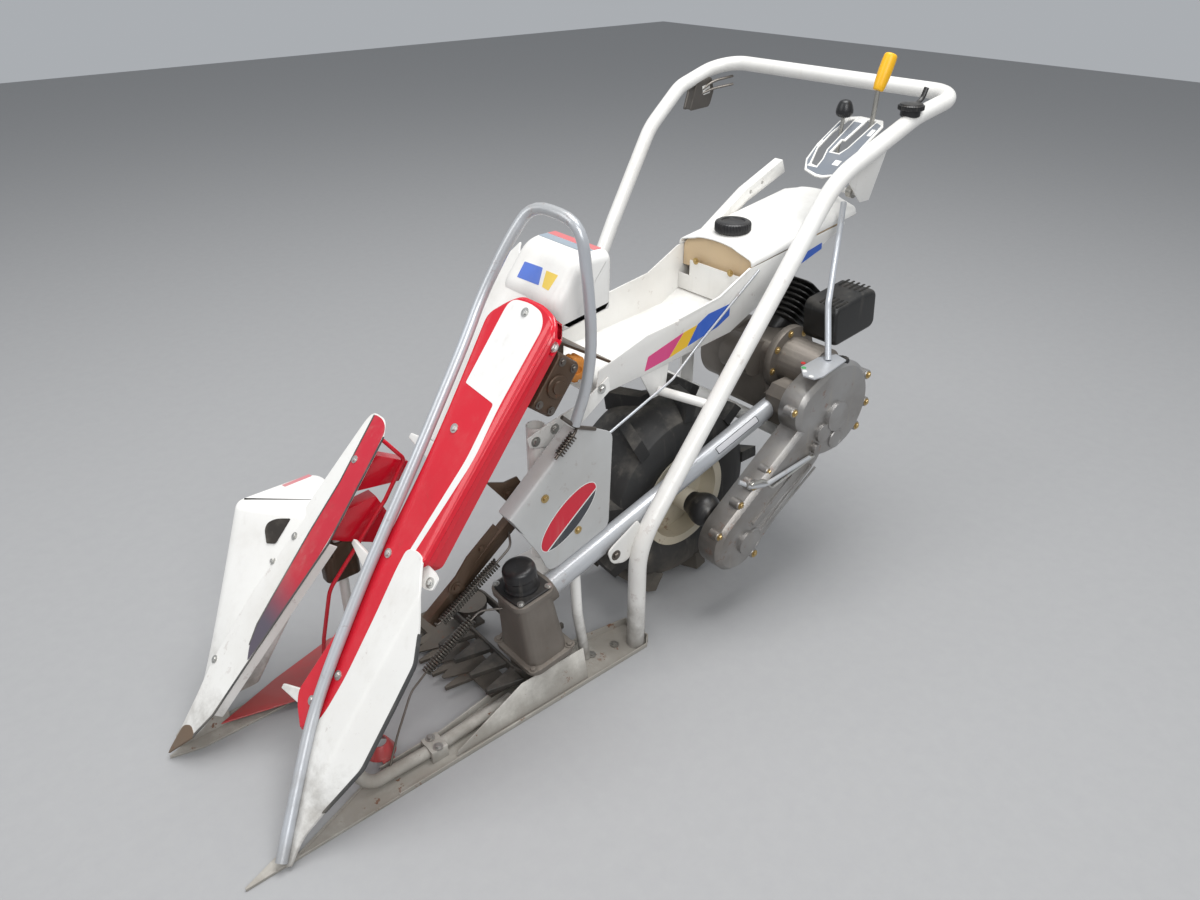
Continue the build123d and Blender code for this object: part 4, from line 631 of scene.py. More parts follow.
paint(silver_sky_tinted, "drive_tube linkage")
tube_bracket = eased_line([(168, 282), (181, 272), (170, 240), (135, 227), (97, 246), (86, 288), (101, 316)],
                          [4, 8, 12, 12, 8, 6, 6], closed=True)
press("tube_bracket", facing_left(373), tube_bracket, white, edge=0.8, walls=((0.0, -3.0),), columns=10)
rod("bracket_spacer", [(160, 352, 258), (160, 371, 258)], 9, steel, reach=1, points_round=20)
bolts("bracket_bolt", [(160, 373, 258)], (0, 1, 0), 13, steel)

# Side panel: light grey enamelled sheet over the shafts, its upper edge rolled inward, held by two bolts. An
# oval plate in red and dark with a white rim is stuck on it.
grey = finish("grey_enamel", (0.50, 0.505, 0.50), (0.42, 0.415, 0.40), 0.38, 0.3, 0.7, 0.2, coat=0.1)
brass = finish("yellow_zinc", (0.55, 0.40, 0.17), (0.38, 0.27, 0.12), 0.34, 0.3, 0.5, 0.4, metal=0.85)
panel_side = 329
panel_place = np.array([(384, panel_side, 423), (-0.7785, 0, 0.6277), (-0.6277, 0, -0.7785), (0, 1, 0)])
panel_corners = np.array([(384, 423), (224, 552), (196, 549), (132, 514), (142, 299), (296, 254), (314, 304),
                          (350, 366)], float)      # in X and Z
upper_edge = -26.0      # the sheet before it is rolled reaches this far past its first corners
panel_spots = (panel_corners - panel_corners[0]) @ panel_place[1:3, ::2].T
panel_spots = np.vstack([(0, upper_edge), (panel_spots[1, 0], upper_edge), panel_spots[1:]])
roll_line, roll_soft, roll_turn = 7.0, 9.0, radians(82)


def roll_edge(points):
    """Past the roll line the panel curves inward, by the same smooth minimum as the blade's fold."""
    past = points[:, 1] - roll_line
    beyond = (past - np.sqrt(past ** 2 + roll_soft ** 2)) / 2
    return np.column_stack([points[:, 0], points[:, 1] - beyond * (1 - cos(roll_turn)),
                            points[:, 2] + beyond * sin(roll_turn)])


press("side_sheet", panel_place, eased_line(panel_spots, [3, 3, 14, 26, 16, 16, 30, 30, 22], closed=True),
      grey, edge=0.8, walls=((0.0, -2.5),), bend=roll_edge, columns=44, step=8.0, stands_for=("side_panel",))
oval_middle, oval_tilt, oval_half = (244.0, 366.0), radians(-37.5), (82.0, 35.0)
sticker_red = finish("sticker_red", (0.62, 0.008, 0.03), (0.52, 0.008, 0.026), 0.28, 0.1, 0.4, 0.0, coat=0.2)
sticker_dark = finish("sticker_dark", (0.03, 0.035, 0.045), (0.06, 0.06, 0.065), 0.32, 0.1, 0.4, 0.0,
                      coat=0.2)
oval_place = np.array([(oval_middle[0], panel_side, oval_middle[1]), (cos(oval_tilt), 0, sin(oval_tilt)),
                       (-sin(oval_tilt), 0, cos(oval_tilt)), (0, 1, 0)])


def oval(grow, low=-1.0, bow=0.0):
    """An ellipse, its lower side replaced by a bowed line at a share of its height."""
    turn = np.linspace(0, 2 * pi, 72, endpoint=False)
    x, y = (oval_half[0] + grow) * np.cos(turn), (oval_half[1] + grow) * np.sin(turn)
    line = low * oval_half[1] + bow * (x / oval_half[0]) ** 2
    return np.column_stack([x, np.maximum(y, line)])


press("oval_outline", oval_place, oval(1.8), stripe_white, lift=0.25, walls=((0.0, -0.2),), columns=20)
press("oval_lower", oval_place, oval(0), sticker_dark, lift=0.45, walls=((0.0, 0.1),), columns=20)
press("oval_line", oval_place, oval(-0.3, -0.36, -1.0), stripe_white, lift=0.60, walls=((0.0, 0.3),),
      columns=20)
press("oval_upper", oval_place, oval(-0.1, -0.27, -1.0), sticker_red, lift=0.75, walls=((0.0, 0.4),),
      columns=20)
bolts("panel_bolts", [(300, panel_side, 432), (222, panel_side, 325)], (0, 1, 0), 10, brass)

# Springs: coils of round steel wire with hooked ends. Two pull the packer arms back, and a short one holds
# the latch of the tube; plain rods lead on from them.
def coil(name, start, end, radius, wire, turns, *finishes, **more):
    """A coil spring: a circle of wire carried along a helix about the line from start to end."""
    start, end = np.array(start, float), np.array(end, float)
    ahead = unit(end - start)
    side = unit(np.cross(ahead, (0.2, 1, 0.1)))
    other = np.cross(ahead, side)
    turn = np.linspace(0, 2 * pi * turns, int(turns * 14) + 1)
    out = np.cos(turn)[:, None] * side + np.sin(turn)[:, None] * other
    line = start + (end - start) * (turn / turn[-1])[:, None] + radius * out
    along = unit(np.gradient(line, axis=0))
    points_round = 6
    shape = rings(line, out, np.cross(along, out), wire, points_round)
    faces = grid_faces(len(line), points_round, around=True) + end_faces(len(line), points_round)
    return add_mesh(name, shape.reshape(-1, 3), faces, *finishes, **more)


spring_steel = finish("spring_steel", (0.13, 0.12, 0.105), (0.06, 0.045, 0.035), 0.36, 0.15, 0.4, 0.5,
                      metal=0.7)
coil("arm_spring", (390, 290, 305.7), (521, 290, 232.8), 8.6, 2.2, 26, spring_steel, stands_for=("springs",))
coil("pickup_spring", (455, 290, 202), (566, 290, 133.3), 8.6, 2.2, 22, spring_steel)
coil("latch_spring", (236, 338, 550), (272, 338, 521), 7.8, 1.7, 8, spring_steel)
spring_rods = (  # name, corners, radius
    ("arm_spring_rod", [(521, 290, 232.8), (392, 290, 304.6), (356, 290, 328), (345, 267, 347)], 2.4),
    ("arm_spring_hook", [(514, 290, 236.5), (530, 290, 229), (533, 284, 231)], 2.2),
    ("pickup_hook", [(460, 290, 199), (438, 290, 212), (401, 314, 214)], 2.2),
    ("pickup_rod", [(558, 290, 138), (603, 292, 106), (660, 330, 60), (694, 358, 31)], 2.2),
    ("latch_rod", [(212, 318, 560), (230, 338, 554.5), (280, 338, 515)], 3.0))
for name, corners, radius in spring_rods:
    rod(name, corners, radius, steel, reach=12)

# Knotter and packers: brown greasy castings and bare levers on a white enamelled post, under the knotter
# cover. They pack the sheaf and tie it, and an orange moulded knob sets how tight it is.
brown = finish("greasy_steel", (0.105, 0.066, 0.042), (0.058, 0.036, 0.022), 0.42, 0.18, 0.5, 0.6, metal=0.45,
               relief=0.1)
orange = finish("orange_knob", (0.80, 0.30, 0.04), (0.55, 0.18, 0.03), 0.45, 0.25, 0.3, 0.0)
post_pieces = (  # node, width of its rounded edges, finish
    ("upright_post", 1, white), ("post_bracket", 0.8, white), ("knotter_head", 3, brown),
    ("packer_arms", 0.8, brown), ("knotter_plate", 0.8, brown), ("right_gear", 3, brown))
for name, width, finishing in post_pieces:
    eased(name, width, finishing)
paint(steel, "belt_pulleys")
arm_bolts = [(481, 285.5, 290), (346, 274.3, 436), (420, 284, 350)]
bolts("arm_bolts", arm_bolts, (0, 1, 0), 12, brown)
bolts("post_bolts", [(268, 262.5, 514), (222, 262.5, 526), (104, 262.5, 572)], (0, 1, 0), 12, bright)
knob_profile = [(6, -57), (6, 0), (19, 0.1), (23, 3, 1), (24.5, 6, 1), (24.5, 27, 1), (22, 31, 1), (16, 33.5),
                (8, 33.5), (7, 30), (0.1, 30)]
turned("tension_knob", facing_left(250, 178, 642), knob_profile, 90, orange, ribs=9, depth=1.4, crease=50,
       stands_for=("tension_wheel",))
head_along, head_across, head_below = 905, 56.2, -88      # on the case's place
head_cap = on(case, [(head_along, head_across, head_below)])[0]
cap_place = np.array([head_cap, case[1], case[3], (0, 1, 0)], float)
turned("head_cap", cap_place, [(22, -3), (22, 3), (20.5, 4.5), (13, 5), (12, 8), (0.1, 8.5)], 40, brown)
head_corners = ((-42, -16), (-42, 16), (42, 16), (42, -16))
head_spots = on(case, [(head_along + a, head_across + 0.2, head_below + b) for a, b in head_corners])
bolts("head_bolts", head_spots, (0, 1, 0), 9, steel)

# Knotter cover: a glossy white moulded box with well rounded edges over the knotter, and a wing that runs on
# down beside the case. Plain coloured labels are stuck on its top and its front.
def pillow(name, profile, sides, edge, *finishes, rows=9, **more):
    """
    A closed moulding: a rounded X, Z profile carried along Y between its sides. Within edge of a side the
    profile draws in along its normals on a quarter circle, and a flat face closes it.
    """
    line = np.array(profile, float)
    tangent = unit(np.roll(line, -1, 0) - np.roll(line, 1, 0))
    inward = np.stack([-tangent[:, 1], tangent[:, 0]], -1)
    if ((line - line.mean(0)) * inward).sum() > 0:
        inward = -inward
    turn = np.linspace(0, pi / 2, rows)
    place = np.concatenate([sides[0] + edge * (1 - np.sin(turn[::-1])), sides[1] - edge * (1 - np.sin(turn))])
    drawn = edge * np.concatenate([1 - np.cos(turn[::-1]), 1 - np.cos(turn)])
    shape = line[None] + inward[None] * drawn[:, None, None]
    points = np.stack([shape[..., 0], np.broadcast_to(place[:, None], shape.shape[:2]), shape[..., 1]], -1)
    faces = grid_faces(*shape.shape[:2], around=True) + end_faces(*shape.shape[:2])
    return add_mesh(name, points.reshape(-1, 3), faces, *finishes, **more)


knotter_profile = eased_line([(94, 859), (172, 859), (236, 779), (219, 723), (96, 742)], [26, 30, 24, 8, 8],
                             closed=True, steps=9)
pillow("knotter_box", knotter_profile, (119, 287), 20.0, moulded, stands_for=("knotter_cover",))
wing_plane = leaning(*(case[0] - 61.5 * case[3]), 51.5)
wing_outline = eased_line([(1098, 290), (1114, 296), (1026, 342), (706, 293), (706, 199), (1015, 199)],
                          [6, 8, 40, 12, 12, 20], closed=True)
press("knotter_wing", wing_plane, wing_outline, moulded, edge=1.5, walls=((0.0, -2.8),))
top_label = level(859.2)
label_pale = finish("label_pale", (0.62, 0.62, 0.64), (0.52, 0.52, 0.54), 0.4, 0.2, 0.3, 0.0)
label_red = finish("label_red", (0.62, 0.16, 0.17), (0.50, 0.14, 0.14), 0.4, 0.2, 0.3, 0.0)
label_slate = finish("label_slate", (0.30, 0.36, 0.42), (0.26, 0.30, 0.34), 0.4, 0.2, 0.3, 0.0)
label_blue = finish("label_blue", (0.09, 0.18, 0.60), (0.09, 0.15, 0.45), 0.4, 0.15, 0.3, 0.0)
label_yellow = finish("label_yellow", (0.80, 0.58, 0.10), (0.65, 0.45, 0.09), 0.4, 0.15, 0.3, 0.0)
for name, rear, front, finishing in (("cover_red_band", 111, 129, label_red),
                                     ("cover_slate_band", 130, 150, label_slate)):
    outline = [(rear, 136), (rear, 270), (front, 270), (front, 136)]
    press(name, top_label, eased_line(outline, 2, closed=True), finishing, walls=((0.0, -0.6),), lift=0.2,
          columns=6)
slope_label = np.array([(172, 0, 859), (0.6247, 0, -0.7809), (0, 1, 0), (0.7809, 0, 0.6247)])
slope_blocks = (("blue_block", [(44, 157), (42, 210), (74, 222), (76, 158)], label_blue),
                ("yellow_block", [(44, 222), (44, 256), (76, 252), (74, 232)], label_yellow))
for name, outline, finishing in slope_blocks:
    press(name, slope_label, eased_line(outline, 2, closed=True), finishing, walls=((0.0, -0.6),), lift=0.3,
          columns=6)

# Tray: folded white enamelled sheet behind the post, with a raised rim along its left wall and plain coloured
# stickers. A bar for the twine box and a bracket for the tank are bolted to it.
tray_wall_left = facing_left(258.0)
sticker_pink = finish("sticker_pink", (0.66, 0.06, 0.22), (0.58, 0.06, 0.20), 0.35, 0.15, 0.3, 0.0)
sticker_yellow = finish("sticker_yellow", (0.80, 0.50, 0.03), (0.72, 0.44, 0.03), 0.35, 0.15, 0.3, 0.0)
sticker_blue = finish("sticker_blue", (0.035, 0.12, 0.52), (0.03, 0.10, 0.45), 0.35, 0.15, 0.3, 0.0)
stickers = (  # name, outline in X and Z, finish
    ("pink_band", [(-15, 571), (-24, 601), (-124, 627), (-83, 581)], sticker_pink),
    ("yellow_band", [(-84, 581), (-125, 627), (-164, 633), (-136, 592)], sticker_yellow),
    ("blue_band", [(-137, 592), (-165, 634), (-196, 649), (-262, 655), (-262, 628), (-226, 611)],
     sticker_blue),
    ("blue_end", [(-492, 692), (-506, 716), (-562, 727), (-563, 712)], sticker_blue))
for name, outline, finishing in stickers:
    press(name, tray_wall_left, eased_line(outline, 2, closed=True), finishing, lift=0.3,
          walls=((0.0, -0.2),), columns=6, step=30.0)
eased("body_tray", 1.5, white)
rim_outline = eased_line([(-110, 655), (-224, 672), (-316, 716), (-320, 722), (-228, 679), (-110, 661)], 3,
                         closed=True)
press("tray_rim", facing_left(256.2), rim_outline, white, edge=0.8, lift=2.5, walls=((0.0, -1.5),), columns=6)
eased("twine_bar", 1, white)
eased("tank_bracket", 0.8, white)

# Tank: a tan moulded fuel tank under a crowned white moulded hood, with a ribbed black filler cap. Two bolts
# hold it to its bracket.
tank_tan = finish("tank_plastic", (0.66, 0.50, 0.31), (0.56, 0.40, 0.23), 0.36, 0.2, 0.2, 0.0)
hood_x, hood_half, hood_mid = (-323.0, -690.0), 110.0, 148.0
hood_heights = ((722.0, 772.0), (738.0, 792.0), (753.0, 807.0))   # foot, shoulder, crown; front and rear
end_ease, shoulder_round = 16.0, 14.0


def hood():
    """
    The hood's sections are carried from front to rear: up the left skirt, round its shoulder, over a crown
    with a raised middle, and down the right. Behind, they round off and close on a flat end.
    """
    end_turn = np.linspace(0.2, pi / 2, 6)
    x = np.concatenate([np.linspace(hood_x[0], hood_x[1] + end_ease, 24),
                        hood_x[1] + end_ease * (1 - np.sin(end_turn))])
    share = (hood_x[0] - x) / (hood_x[0] - hood_x[1])
    foot, shoulder, crown = (low + (high - low) * share for low, high in hood_heights)
    ease = end_ease * (1 - np.sqrt(1 - np.clip((hood_x[1] + end_ease - x) / end_ease, 0, 1) ** 2))
    turn = np.linspace(0, pi / 2, 8)
    skirt = np.linspace(0, 1, 5)[:-1]
    v = np.linspace(-1, 1, 31)
    half = hood_half - ease
    raised = 2.5 / (1 + np.exp(-(0.62 - np.abs(v)) * 40))
    bow = (crown - shoulder)[:, None] * (1 - v ** 2) + raised
    top_y = v * (half[:, None] - shoulder_round)
    top_z = (shoulder - ease)[:, None] + bow
    edge_z = (shoulder - ease - shoulder_round)[:, None]
    corner_y = half[:, None] - shoulder_round + shoulder_round * np.cos(turn)
    corner_z = edge_z + shoulder_round * np.sin(turn)
    rise_z = foot[:, None] + (edge_z - foot[:, None]) * skirt
    side_y = np.broadcast_to(half[:, None], rise_z.shape)
    y = np.hstack([side_y, corner_y, top_y[:, ::-1][:, 1:-1], -corner_y[:, ::-1], -side_y[:, ::-1]])
    z = np.hstack([rise_z, corner_z, top_z[:, ::-1][:, 1:-1], corner_z[:, ::-1], rise_z[:, ::-1]])
    middle = foot[-1] + 8
    pull = np.array([[0.4], [0.02]])      # two smaller copies of the last section close the end
    x = np.append(x, [x[-1], x[-1]])
    y = np.vstack([y, y[-1] * pull])
    z = np.vstack([z, middle + (z[-1] - middle) * pull])
    return np.stack([np.broadcast_to(x[:, None], y.shape), y + hood_mid, z], -1)


shape = hood()
hood_piece = add_mesh("tank_hood", shape.reshape(-1, 3), grid_faces(*shape.shape[:2]), moulded,
                      stands_for=("tank_cover",))
wall = hood_piece.modifiers.new("wall", "SOLIDIFY")
wall.thickness = 3 * mm
wall.offset = -1
eased("fuel_tank", 1.0, tank_tan)
cap_ribs, rib_depth = 36, 0.9


def ribbed_cap():
    """Rings from the cap's foot up its ribbed side and in over its dished top; a wave swings the radius."""
    profile = np.array([  # radius, height, share of the ribs
        (39, 0, 0), (41, 2, 1), (41, 17, 1), (39.5, 20.5, 0.6), (36, 22.5, 0), (31, 23.6, 0), (27, 23.0, 0),
        (25.5, 20.5, 0), (10, 20.0, 0), (0.05, 20.0, 0)])
    turn = np.linspace(0, 2 * pi, 5 * cap_ribs, endpoint=False)
    wave = np.sin(cap_ribs * turn)
    ribs = rib_depth * (1 + np.sign(wave) * np.abs(wave) ** 0.3)
    radius = profile[:, :1] - profile[:, 2:] * ribs
    return np.stack([radius * np.cos(turn), radius * np.sin(turn), profile[:, 1:2] + 0 * turn], -1)


shape = ribbed_cap()
add_mesh("fuel_cap", on(level(763.0, -385.0, 142.0), shape.reshape(-1, 3)),
         grid_faces(*shape.shape[:2], around=True) + end_faces(*shape.shape[:2]), black,
         stands_for=("tank_cap",))
bolts("tank_bolts", [(-321, 95, 694), (-321, 200, 694)], (1, 0, 0), 9, brass)

# Gear case and chain case: two aluminium castings, greasy and dusty, carry the drive from the engine down to
# the axle. Yellow bolts stand in ears all round their joint, and cast ridges and discs stand on the left
# face.
cast_paint = finish("painted_casting", (0.38, 0.375, 0.37), (0.15, 0.125, 0.10), 0.33, 0.3, 1.0, 0.5,
                    relief=0.10, metal=0.7, streaks=0.6)
eased("gear_case", 3.0, casting, segments=2)
eased("chain_case", 5.0, cast_paint, segments=3)
joint_y = 447      # the face of the ears
case_ears = [(-278, 460), (-284, 384), (-212, 340), (-168, 321), (-128, 290), (-68, 236), (-190, 134),
             (-536, 470), (-545, 398), (-520, 344), (-240, 264), (-300, 296)]
ear_profile = [(11.5, -24), (11.5, -2), (10.0, 0), (0.1, 0)]
for count, (x, z) in enumerate(case_ears):
    turned(f"case_ear_{count}", facing_left(joint_y, x, z), ear_profile, 20, cast_paint)
bolts("case_bolts", [(x, joint_y, z) for x, z in case_ears], (0, 1, 0), 10, brass)
flange_turn = np.radians(np.arange(34, 394, 45))
flange = facing_left(304.0, -436, 490)
flange_ring = 66.0
flange_spots = on(flange, [(flange_ring * cos(turn), flange_ring * sin(turn)) for turn in flange_turn])
bolts("flange_bolts", flange_spots, (0, 1, 0), 10, brass)
filler_profile = [(18, -26), (18, -4), (16, -2), (15.5, 6, 1), (14, 9, 1), (0.1, 9.5)]
turned("oil_filler", level(528, -440, 436), filler_profile, 48, black, ribs=12, depth=0.8)
bolts("case_plug", [(-376, 457, 371)], (0, 1, 0), 14, bright, washer=0.7)
disc_edge = [(1.0, -3), (1.0, 2.0), (0.93, 4.0), (0.80, 4.0), (0.76, 3.0), (0.001, 3.0)]   # share, height
ridge_y = 455.5
for count, (x, z, radius) in enumerate(((-424, 405, 27), (-427, 350, 24), (-168, 191, 27))):
    turned(f"case_disc_{count}", facing_left(ridge_y + 1, x, z), [(radius * r, h) for r, h in disc_edge], 48,
           cast_paint)
rod("case_ridge_high", [(-176, ridge_y, 214), (-320, ridge_y, 297)], 2.6, cast_paint, reach=1,
    points_round=10)
rod("case_ridge_low", [(-198, ridge_y, 193), (-366, ridge_y, 296)], 2.6, cast_paint, reach=1, points_round=10)

# Shift finger: a flat zinc plated bar that swings on a bolt in the case's ear. Small painted dots mark the
# places on the quadrant above it.
finger_y = 462
finger_line = [(-344, finger_y, 338), (-206, finger_y, 311), (-178, finger_y, 342), (-138, finger_y, 348)]
rod("shift_finger", finger_line, 4.4, bright, reach=[1, 8, 10, 1], flat=0.55)
turned("shift_pivot", facing_left(450, -140, 345), [(13, -6), (13, 9), (11.5, 10.5), (0.1, 10.5)], 32,
       cast_paint)
bolts("shift_bolt", [(-140, 461, 345)], (0, 1, 0), 9, bright)
quadrant_top = 540.6
dot_spots = ((-348, 402, "red_dot", (0.55, 0.02, 0.02)), (-330, 418, "green_dot", (0.05, 0.35, 0.10)),
             (-318, 430, "white_dot", (0.75, 0.75, 0.72)), (-308, 455, "pale_dot", (0.75, 0.75, 0.72)))
for x, y, name, colour in dot_spots:
    dot = finish(name, colour, colour, 0.4, 0.15, 0.3, 0.0)
    turned(name, level(quadrant_top, x, y), [(5.2, -1.0), (5.2, 0.5), (4.8, 0.8), (0.1, 0.8)], 24, dot)

# Handle frame: one bent tube in white enamel runs from the gear case round both handles, with a cross tube
# and flat stays. A dark label with a pale field is wrapped on the left tube.
paint(white, "handle_frame cross_tube")
eased("stays", 0.8, white)
label_along, label_out = np.array([-0.960, 0, 0.280]), np.array([0.168, 0.80, 0.576])
label_place = np.array([(-215, 334, 379.2), label_along, np.cross(label_out, label_along), label_out])
label_radius = 22.3


def round_tube(points):
    """The label lies on the tube: across becomes an angle about the tube's middle, height its radius."""
    angle = points[:, 1] / label_radius
    radius = label_radius + points[:, 2]
    return np.column_stack([points[:, 0], radius * np.sin(angle), radius * np.cos(angle)])


frame_line = eased_line([(-66, -8), (66, -8), (66, 8), (-66, 8)], 2, closed=True)
bare_line = eased_line([(-64, -6.5), (64, -6.5), (64, 6.5), (-64, 6.5)], 1, closed=True)
press("tube_label", label_place, frame_line, sticker_dark, lift=0.2, walls=((0.0, 0.0),), bend=round_tube,
      columns=8)
press("tube_label_field", label_place, bare_line, label_pale, lift=0.35, walls=((0.0, 0.1),), bend=round_tube,
      columns=8)

# Wheel: a rolled steel rim and a pressed hub plate in cream paint, five bolts, a black boot over the axle,
# and a farm tyre of black rubber with high slanted lugs.
rubber = finish("tyre_rubber", (0.019, 0.019, 0.019), (0.038, 0.034, 0.03), 0.62, 0.28, 0.7, 0.0, relief=0.06)
cream = finish("rim_cream", (0.58, 0.53, 0.42), (0.42, 0.36, 0.26), 0.45, 0.4, 0.7, 0.6)
eased("tyre", 5.0, rubber, segments=3, body="wheel")
paint(cream, "rim")
axle_x, axle_z = -115, 240
hub_place = facing_left(0, axle_x, axle_z)
boot_profile = eased_line([(24, 300), (27, 326), (38, 348), (38, 366), (26, 386), (20, 388)],
                          [0, 10, 12, 12, 8, 0])
hub_plate = [(60, 251.3), (60, 257), (58, 259.3), (30, 261), (26, 264), (26, 330)]
turned("hub_boot", hub_place, [*boot_profile, (0.1, 388)], 48, black, body="wheel")
turned("hub_plate", hub_place, hub_plate + [(0.1, 330)], 48, cream, body="wheel", stands_for=("hub",))
hub_turn = np.radians(np.arange(20, 380, 72))
hub_ring, hub_face = 44.0, 260.0
hub_spots = on(hub_place, [(hub_ring * cos(turn), hub_ring * sin(turn), hub_face) for turn in hub_turn])
bolts("hub_bolts", hub_spots, (0, 1, 0), 14, brass, body="wheel")

# Engine: a crankcase casting, a cylinder with square cooling fins in dark heat paint, and a black pressed
# muffler cover with two rows of slots in its top, drawn as near-black patches of painted shade.
heat_black = finish("heat_black", (0.013, 0.013, 0.013), (0.022, 0.02, 0.018), 0.40, 0.12, 0.4, 0.4,
                    relief=0.04)
eased("engine_block", 5.0, casting, segments=3)
eased("cylinder", 1.2, heat_black)
eased("muffler", 2.5, heat_black, segments=3)
muffler_tilt = radians(6.2)
muffler_rise = 47.5      # from the muffler's middle to its top
muffler_top = np.array([(-538 + sin(muffler_tilt) * muffler_rise, 0, 590 + cos(muffler_tilt) * muffler_rise),
                        (cos(muffler_tilt), 0, -sin(muffler_tilt)), (0, 1, 0),
                        (sin(muffler_tilt), 0, cos(muffler_tilt))])
# Each slot is a near-black patch laid on the top: painted shade for the slot's depth, not a cut.
slot_painted_shade = finish("slot_shadow", (0.003, 0.003, 0.003), (0.006, 0.006, 0.006), 0.9, 0.1, 0.2, 0.0)
slot_long, slot_wide = 40.0, 5.6
slot_rows = ((-72.0, 314.0, 14.0), (24.0, 336.0, 11.2))     # along the top, Y of the first slot, spacing
for row, (along, first, apart) in enumerate(slot_rows):
    for count in range(5):
        y = first + apart * count
        corners = [(along, y), (along + slot_long, y), (along + slot_long, y + slot_wide),
                   (along, y + slot_wide)]
        press(f"muffler_slot_shade_{row}_{count}", muffler_top, eased_line(corners, 2.7, closed=True), slot_painted_shade,
              lift=0.5, walls=((0.0, -0.5),), columns=4, step=20.0)

# Gate plate for the gear lever: white enamelled sheet with two slots. Grey fields printed round the slots
# leave a white line at every edge. A sheet bracket below it carries the pivot of both levers.
eased("gate_plate", 0.8, white)
gate = np.array([(-562, 248, 892), (-0.865, 0, 0.5), (0, -1, 0), (0.5, 0, 0.865)])
gate_grey = finish("gate_grey", (0.16, 0.18, 0.21), (0.13, 0.14, 0.155), 0.42, 0.15, 0.4, 0.0)
gate_fields = (
    [(-27, -8), (-27, 9), (-18, 42), (-9, 49), (-9, -31), (-18, -29)],
    [(-9, 49), (8, 60), (60, 69), (142, 67), (142, 58), (104, 65), (50, 65), (0, 48)],
    [(-9, -31), (42, -36), (42, 31), (20, 24), (-9, 21)],
    [(42, 27), (89, 27), (89, 19), (148, 13), (148, 34), (104, 34), (50, 34), (42, 31)],
    [(42, -36), (150, -36), (156, -20), (66, -10), (42, -2)])
for count, outline in enumerate(gate_fields):
    press(f"gate_field_{count}", gate, eased_line(outline, 2, closed=True), gate_grey, lift=4.3,
          walls=((0.0, 4.05),), columns=5, step=30.0)
gate_marks = ([(52, 66), (52, 68.6), (76, 68.6), (76, 66)], [(8, -22), (8, -6), (24, -6), (24, -22)],
              [(112, -34), (112, -24), (134, -24), (134, -34)])
for count, outline in enumerate(gate_marks):
    press(f"gate_mark_{count}", gate, eased_line(outline, 1, closed=True), stripe_white, lift=4.5,
          walls=((0.0, 4.3),), columns=3, step=30.0)
eased("lever_stand", 0.6, white)

# Gear lever and speed lever: plated steel bars on one pivot. The gear lever ends in a dipped yellow plastic
# grip and the speed lever in a black knob, narrower towards its top.
yellow = finish("yellow_grip", (0.86, 0.46, 0.010), (0.72, 0.35, 0.01), 0.36, 0.12, 0.3, 0.0)
plated = finish("plated_bar", (0.42, 0.41, 0.38), (0.26, 0.23, 0.19), 0.34, 0.25, 0.5, 0.45, metal=0.8)
pivot_x, pivot_z = -655, 826
rod("lever_boss", [(pivot_x, 247, pivot_z), (pivot_x, 261, pivot_z)], 14, plated, reach=1, points_round=24,
    stands_for=("main_lever",))
rod("lever_shaft", [(pivot_x, 254, pivot_z), (-694, 256, 962), (-683, 268, 1050)], 5.2, plated,
    reach=[1, 60, 1])
grip_up = unit(np.array([-29.0, 2.0, 72.0]))
grip_side = unit(np.cross(grip_up, (0, 1, 0)))
grip_place = np.array([(-683, 268, 1046), grip_side, np.cross(grip_up, grip_side), grip_up])
grip_line = eased_line([(5.4, -4), (11, -3), (13, 6), (15, 30), (15, 64), (13.5, 74), (0.1, 76)],
                       [0, 2, 4, 10, 8, 9, 0])
turned("lever_grip", grip_place, grip_line, 32, yellow, crease=60)
rod("speed_shaft", [(pivot_x, 198, pivot_z), (-668, 198, 994)], 4.2, plated, reach=1,
    stands_for=("hand_controls",))
rod("speed_boss", [(pivot_x, 192, pivot_z), (pivot_x, 204, pivot_z)], 12, plated, reach=1, points_round=24)
knob_line = eased_line([(4.4, -19), (14, -18), (19, -12), (19.5, -3), (16.5, 9), (11.5, 17.5), (0.1, 20)],
                       [0, 4, 4, 5, 8, 8, 0])
turned("speed_knob", level(998, -669, 198), knob_line, 40, black, crease=60)

# Throttle dial: a ribbed black plastic disc with a flat lever on the left handle tube, held by a small plated
# clamp. The driver's thumb turns it.
dial_line = [(18, -16), (22, -13), (22, -1), (28, 0), (28.5, 1, 1), (28.5, 9, 1), (26, 11), (25, 13),
             (14, 15), (0.1, 15.5)]
turned("dial", level(999, -764, 305), dial_line, 120, black, ribs=30, depth=0.6, crease=40)
rod("dial_lever", [(-776, 305, 1008), (-802, 305, 1015), (-814, 305, 1040)], 5.5, black, reach=[1, 12, 1],
    flat=0.6)
rod("dial_clamp", [(-752, 305, 968), (-760, 305, 990)], 13, plated, reach=1, points_round=20, flat=0.7)

# Clutch levers on the right handle tube: two bare steel levers in a folded, rusty bracket. A small white tag
# hangs on the bracket's left face.
clutch_outline = [(-846, 966), (-822, 888), (-900, 892), (-916, 934), (-904, 972)]
press("clutch_bracket", facing_left(-432), eased_line(clutch_outline, 8, closed=True), steel, edge=1.5,
      walls=((0.0, -4.0), (-2.0, -5.5), (-2.0, -24.0), (0.0, -25.5), (0.0, -30.0)), columns=10)
rod("clutch_lever_low", [(-868, -436, 930), (-900, -424, 942), (-956, -397, 952)], 4.6, steel,
    reach=[1, 20, 1], flat=0.7)
rod("clutch_lever_high", [(-868, -436, 940), (-900, -424, 962), (-962, -405, 972)], 4.6, steel,
    reach=[1, 20, 1], flat=0.7)
tag_outline = eased_line([(-900, 930), (-872, 926), (-866, 950), (-896, 956)], 3, closed=True)
press("clutch_tag", facing_left(-431.4), tag_outline, white, walls=((0.0, -0.5),), columns=5)

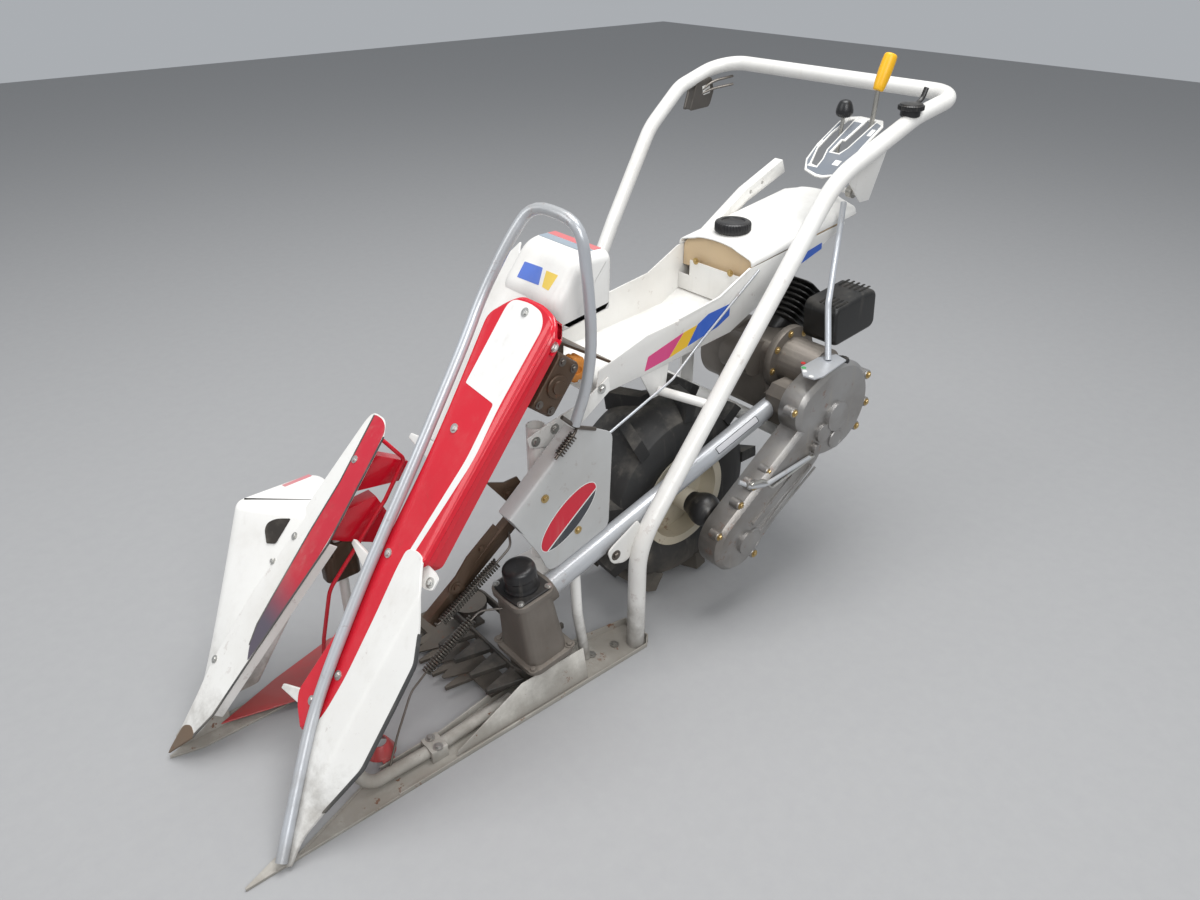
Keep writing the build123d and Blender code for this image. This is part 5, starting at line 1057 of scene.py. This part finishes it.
# Studio: a pale matt floor, an even overcast sky with three large lamps, and the camera at the height and
# angle from which a person looks down at the machine's left front corner.
pale = bpy.data.materials.new("pale_floor")
pale.use_nodes = True
tree = pale.node_tree
speckle = noise(tree, node(tree, "TexCoord").outputs["Object"], 30.0, 8.0, 0.7)
tree.links.new(over(tree, speckle, rgb(0.33, 0.33, 0.335), rgb(0.37, 0.37, 0.37)),
               tree.nodes["Principled BSDF"].inputs["Base Color"])
tree.nodes["Principled BSDF"].inputs["Roughness"].default_value = 0.85
floor_mesh = bpy.data.meshes.new("floor")
floor_mesh.from_pydata([(-9, -9, 0), (9, -9, 0), (9, 9, 0), (-9, 9, 0)], [], [(0, 1, 2, 3)])
floor_mesh.materials.append(pale)
floor = bpy.data.objects.new("floor", floor_mesh)
bpy.context.scene.collection.objects.link(floor)

world = bpy.data.worlds.new("studio")
bpy.context.scene.world = world
world.use_nodes = True
world.node_tree.nodes["Background"].inputs[0].default_value = rgb(0.86, 0.90, 0.95)
world.node_tree.nodes["Background"].inputs[1].default_value = 0.47
lamps = (  # name, place, size, watts
    ("lamp_left", (1.6, 3.4, 3.2), 2.4, 92.0), ("lamp_front", (3.6, -1.2, 3.2), 2.5, 50.0),
    ("lamp_top", (-0.6, 0.2, 4.4), 2.6, 150.0))
for name, place, size, watts in lamps:
    data = bpy.data.lights.new(name, "AREA")
    data.size = size
    data.energy = watts
    lamp = bpy.data.objects.new(name, data)
    lamp.location = place
    lamp.rotation_euler = (Vector((0, 0, 0.4)) - Vector(place)).to_track_quat("-Z", "Y").to_euler()
    bpy.context.scene.collection.objects.link(lamp)
camera_data = bpy.data.cameras.new("camera")
camera_data.lens = 27.6
camera = bpy.data.objects.new("camera", camera_data)
camera.location = (1.155, 1.489, 1.381)
camera.rotation_euler = Vector((-0.560, -0.656, -0.506)).to_track_quat("-Z", "Y").to_euler()
bpy.context.scene.collection.objects.link(camera)
bpy.context.scene.camera = camera
bpy.context.scene.view_settings.view_transform = "Standard"      # keeps the enamels' contrast
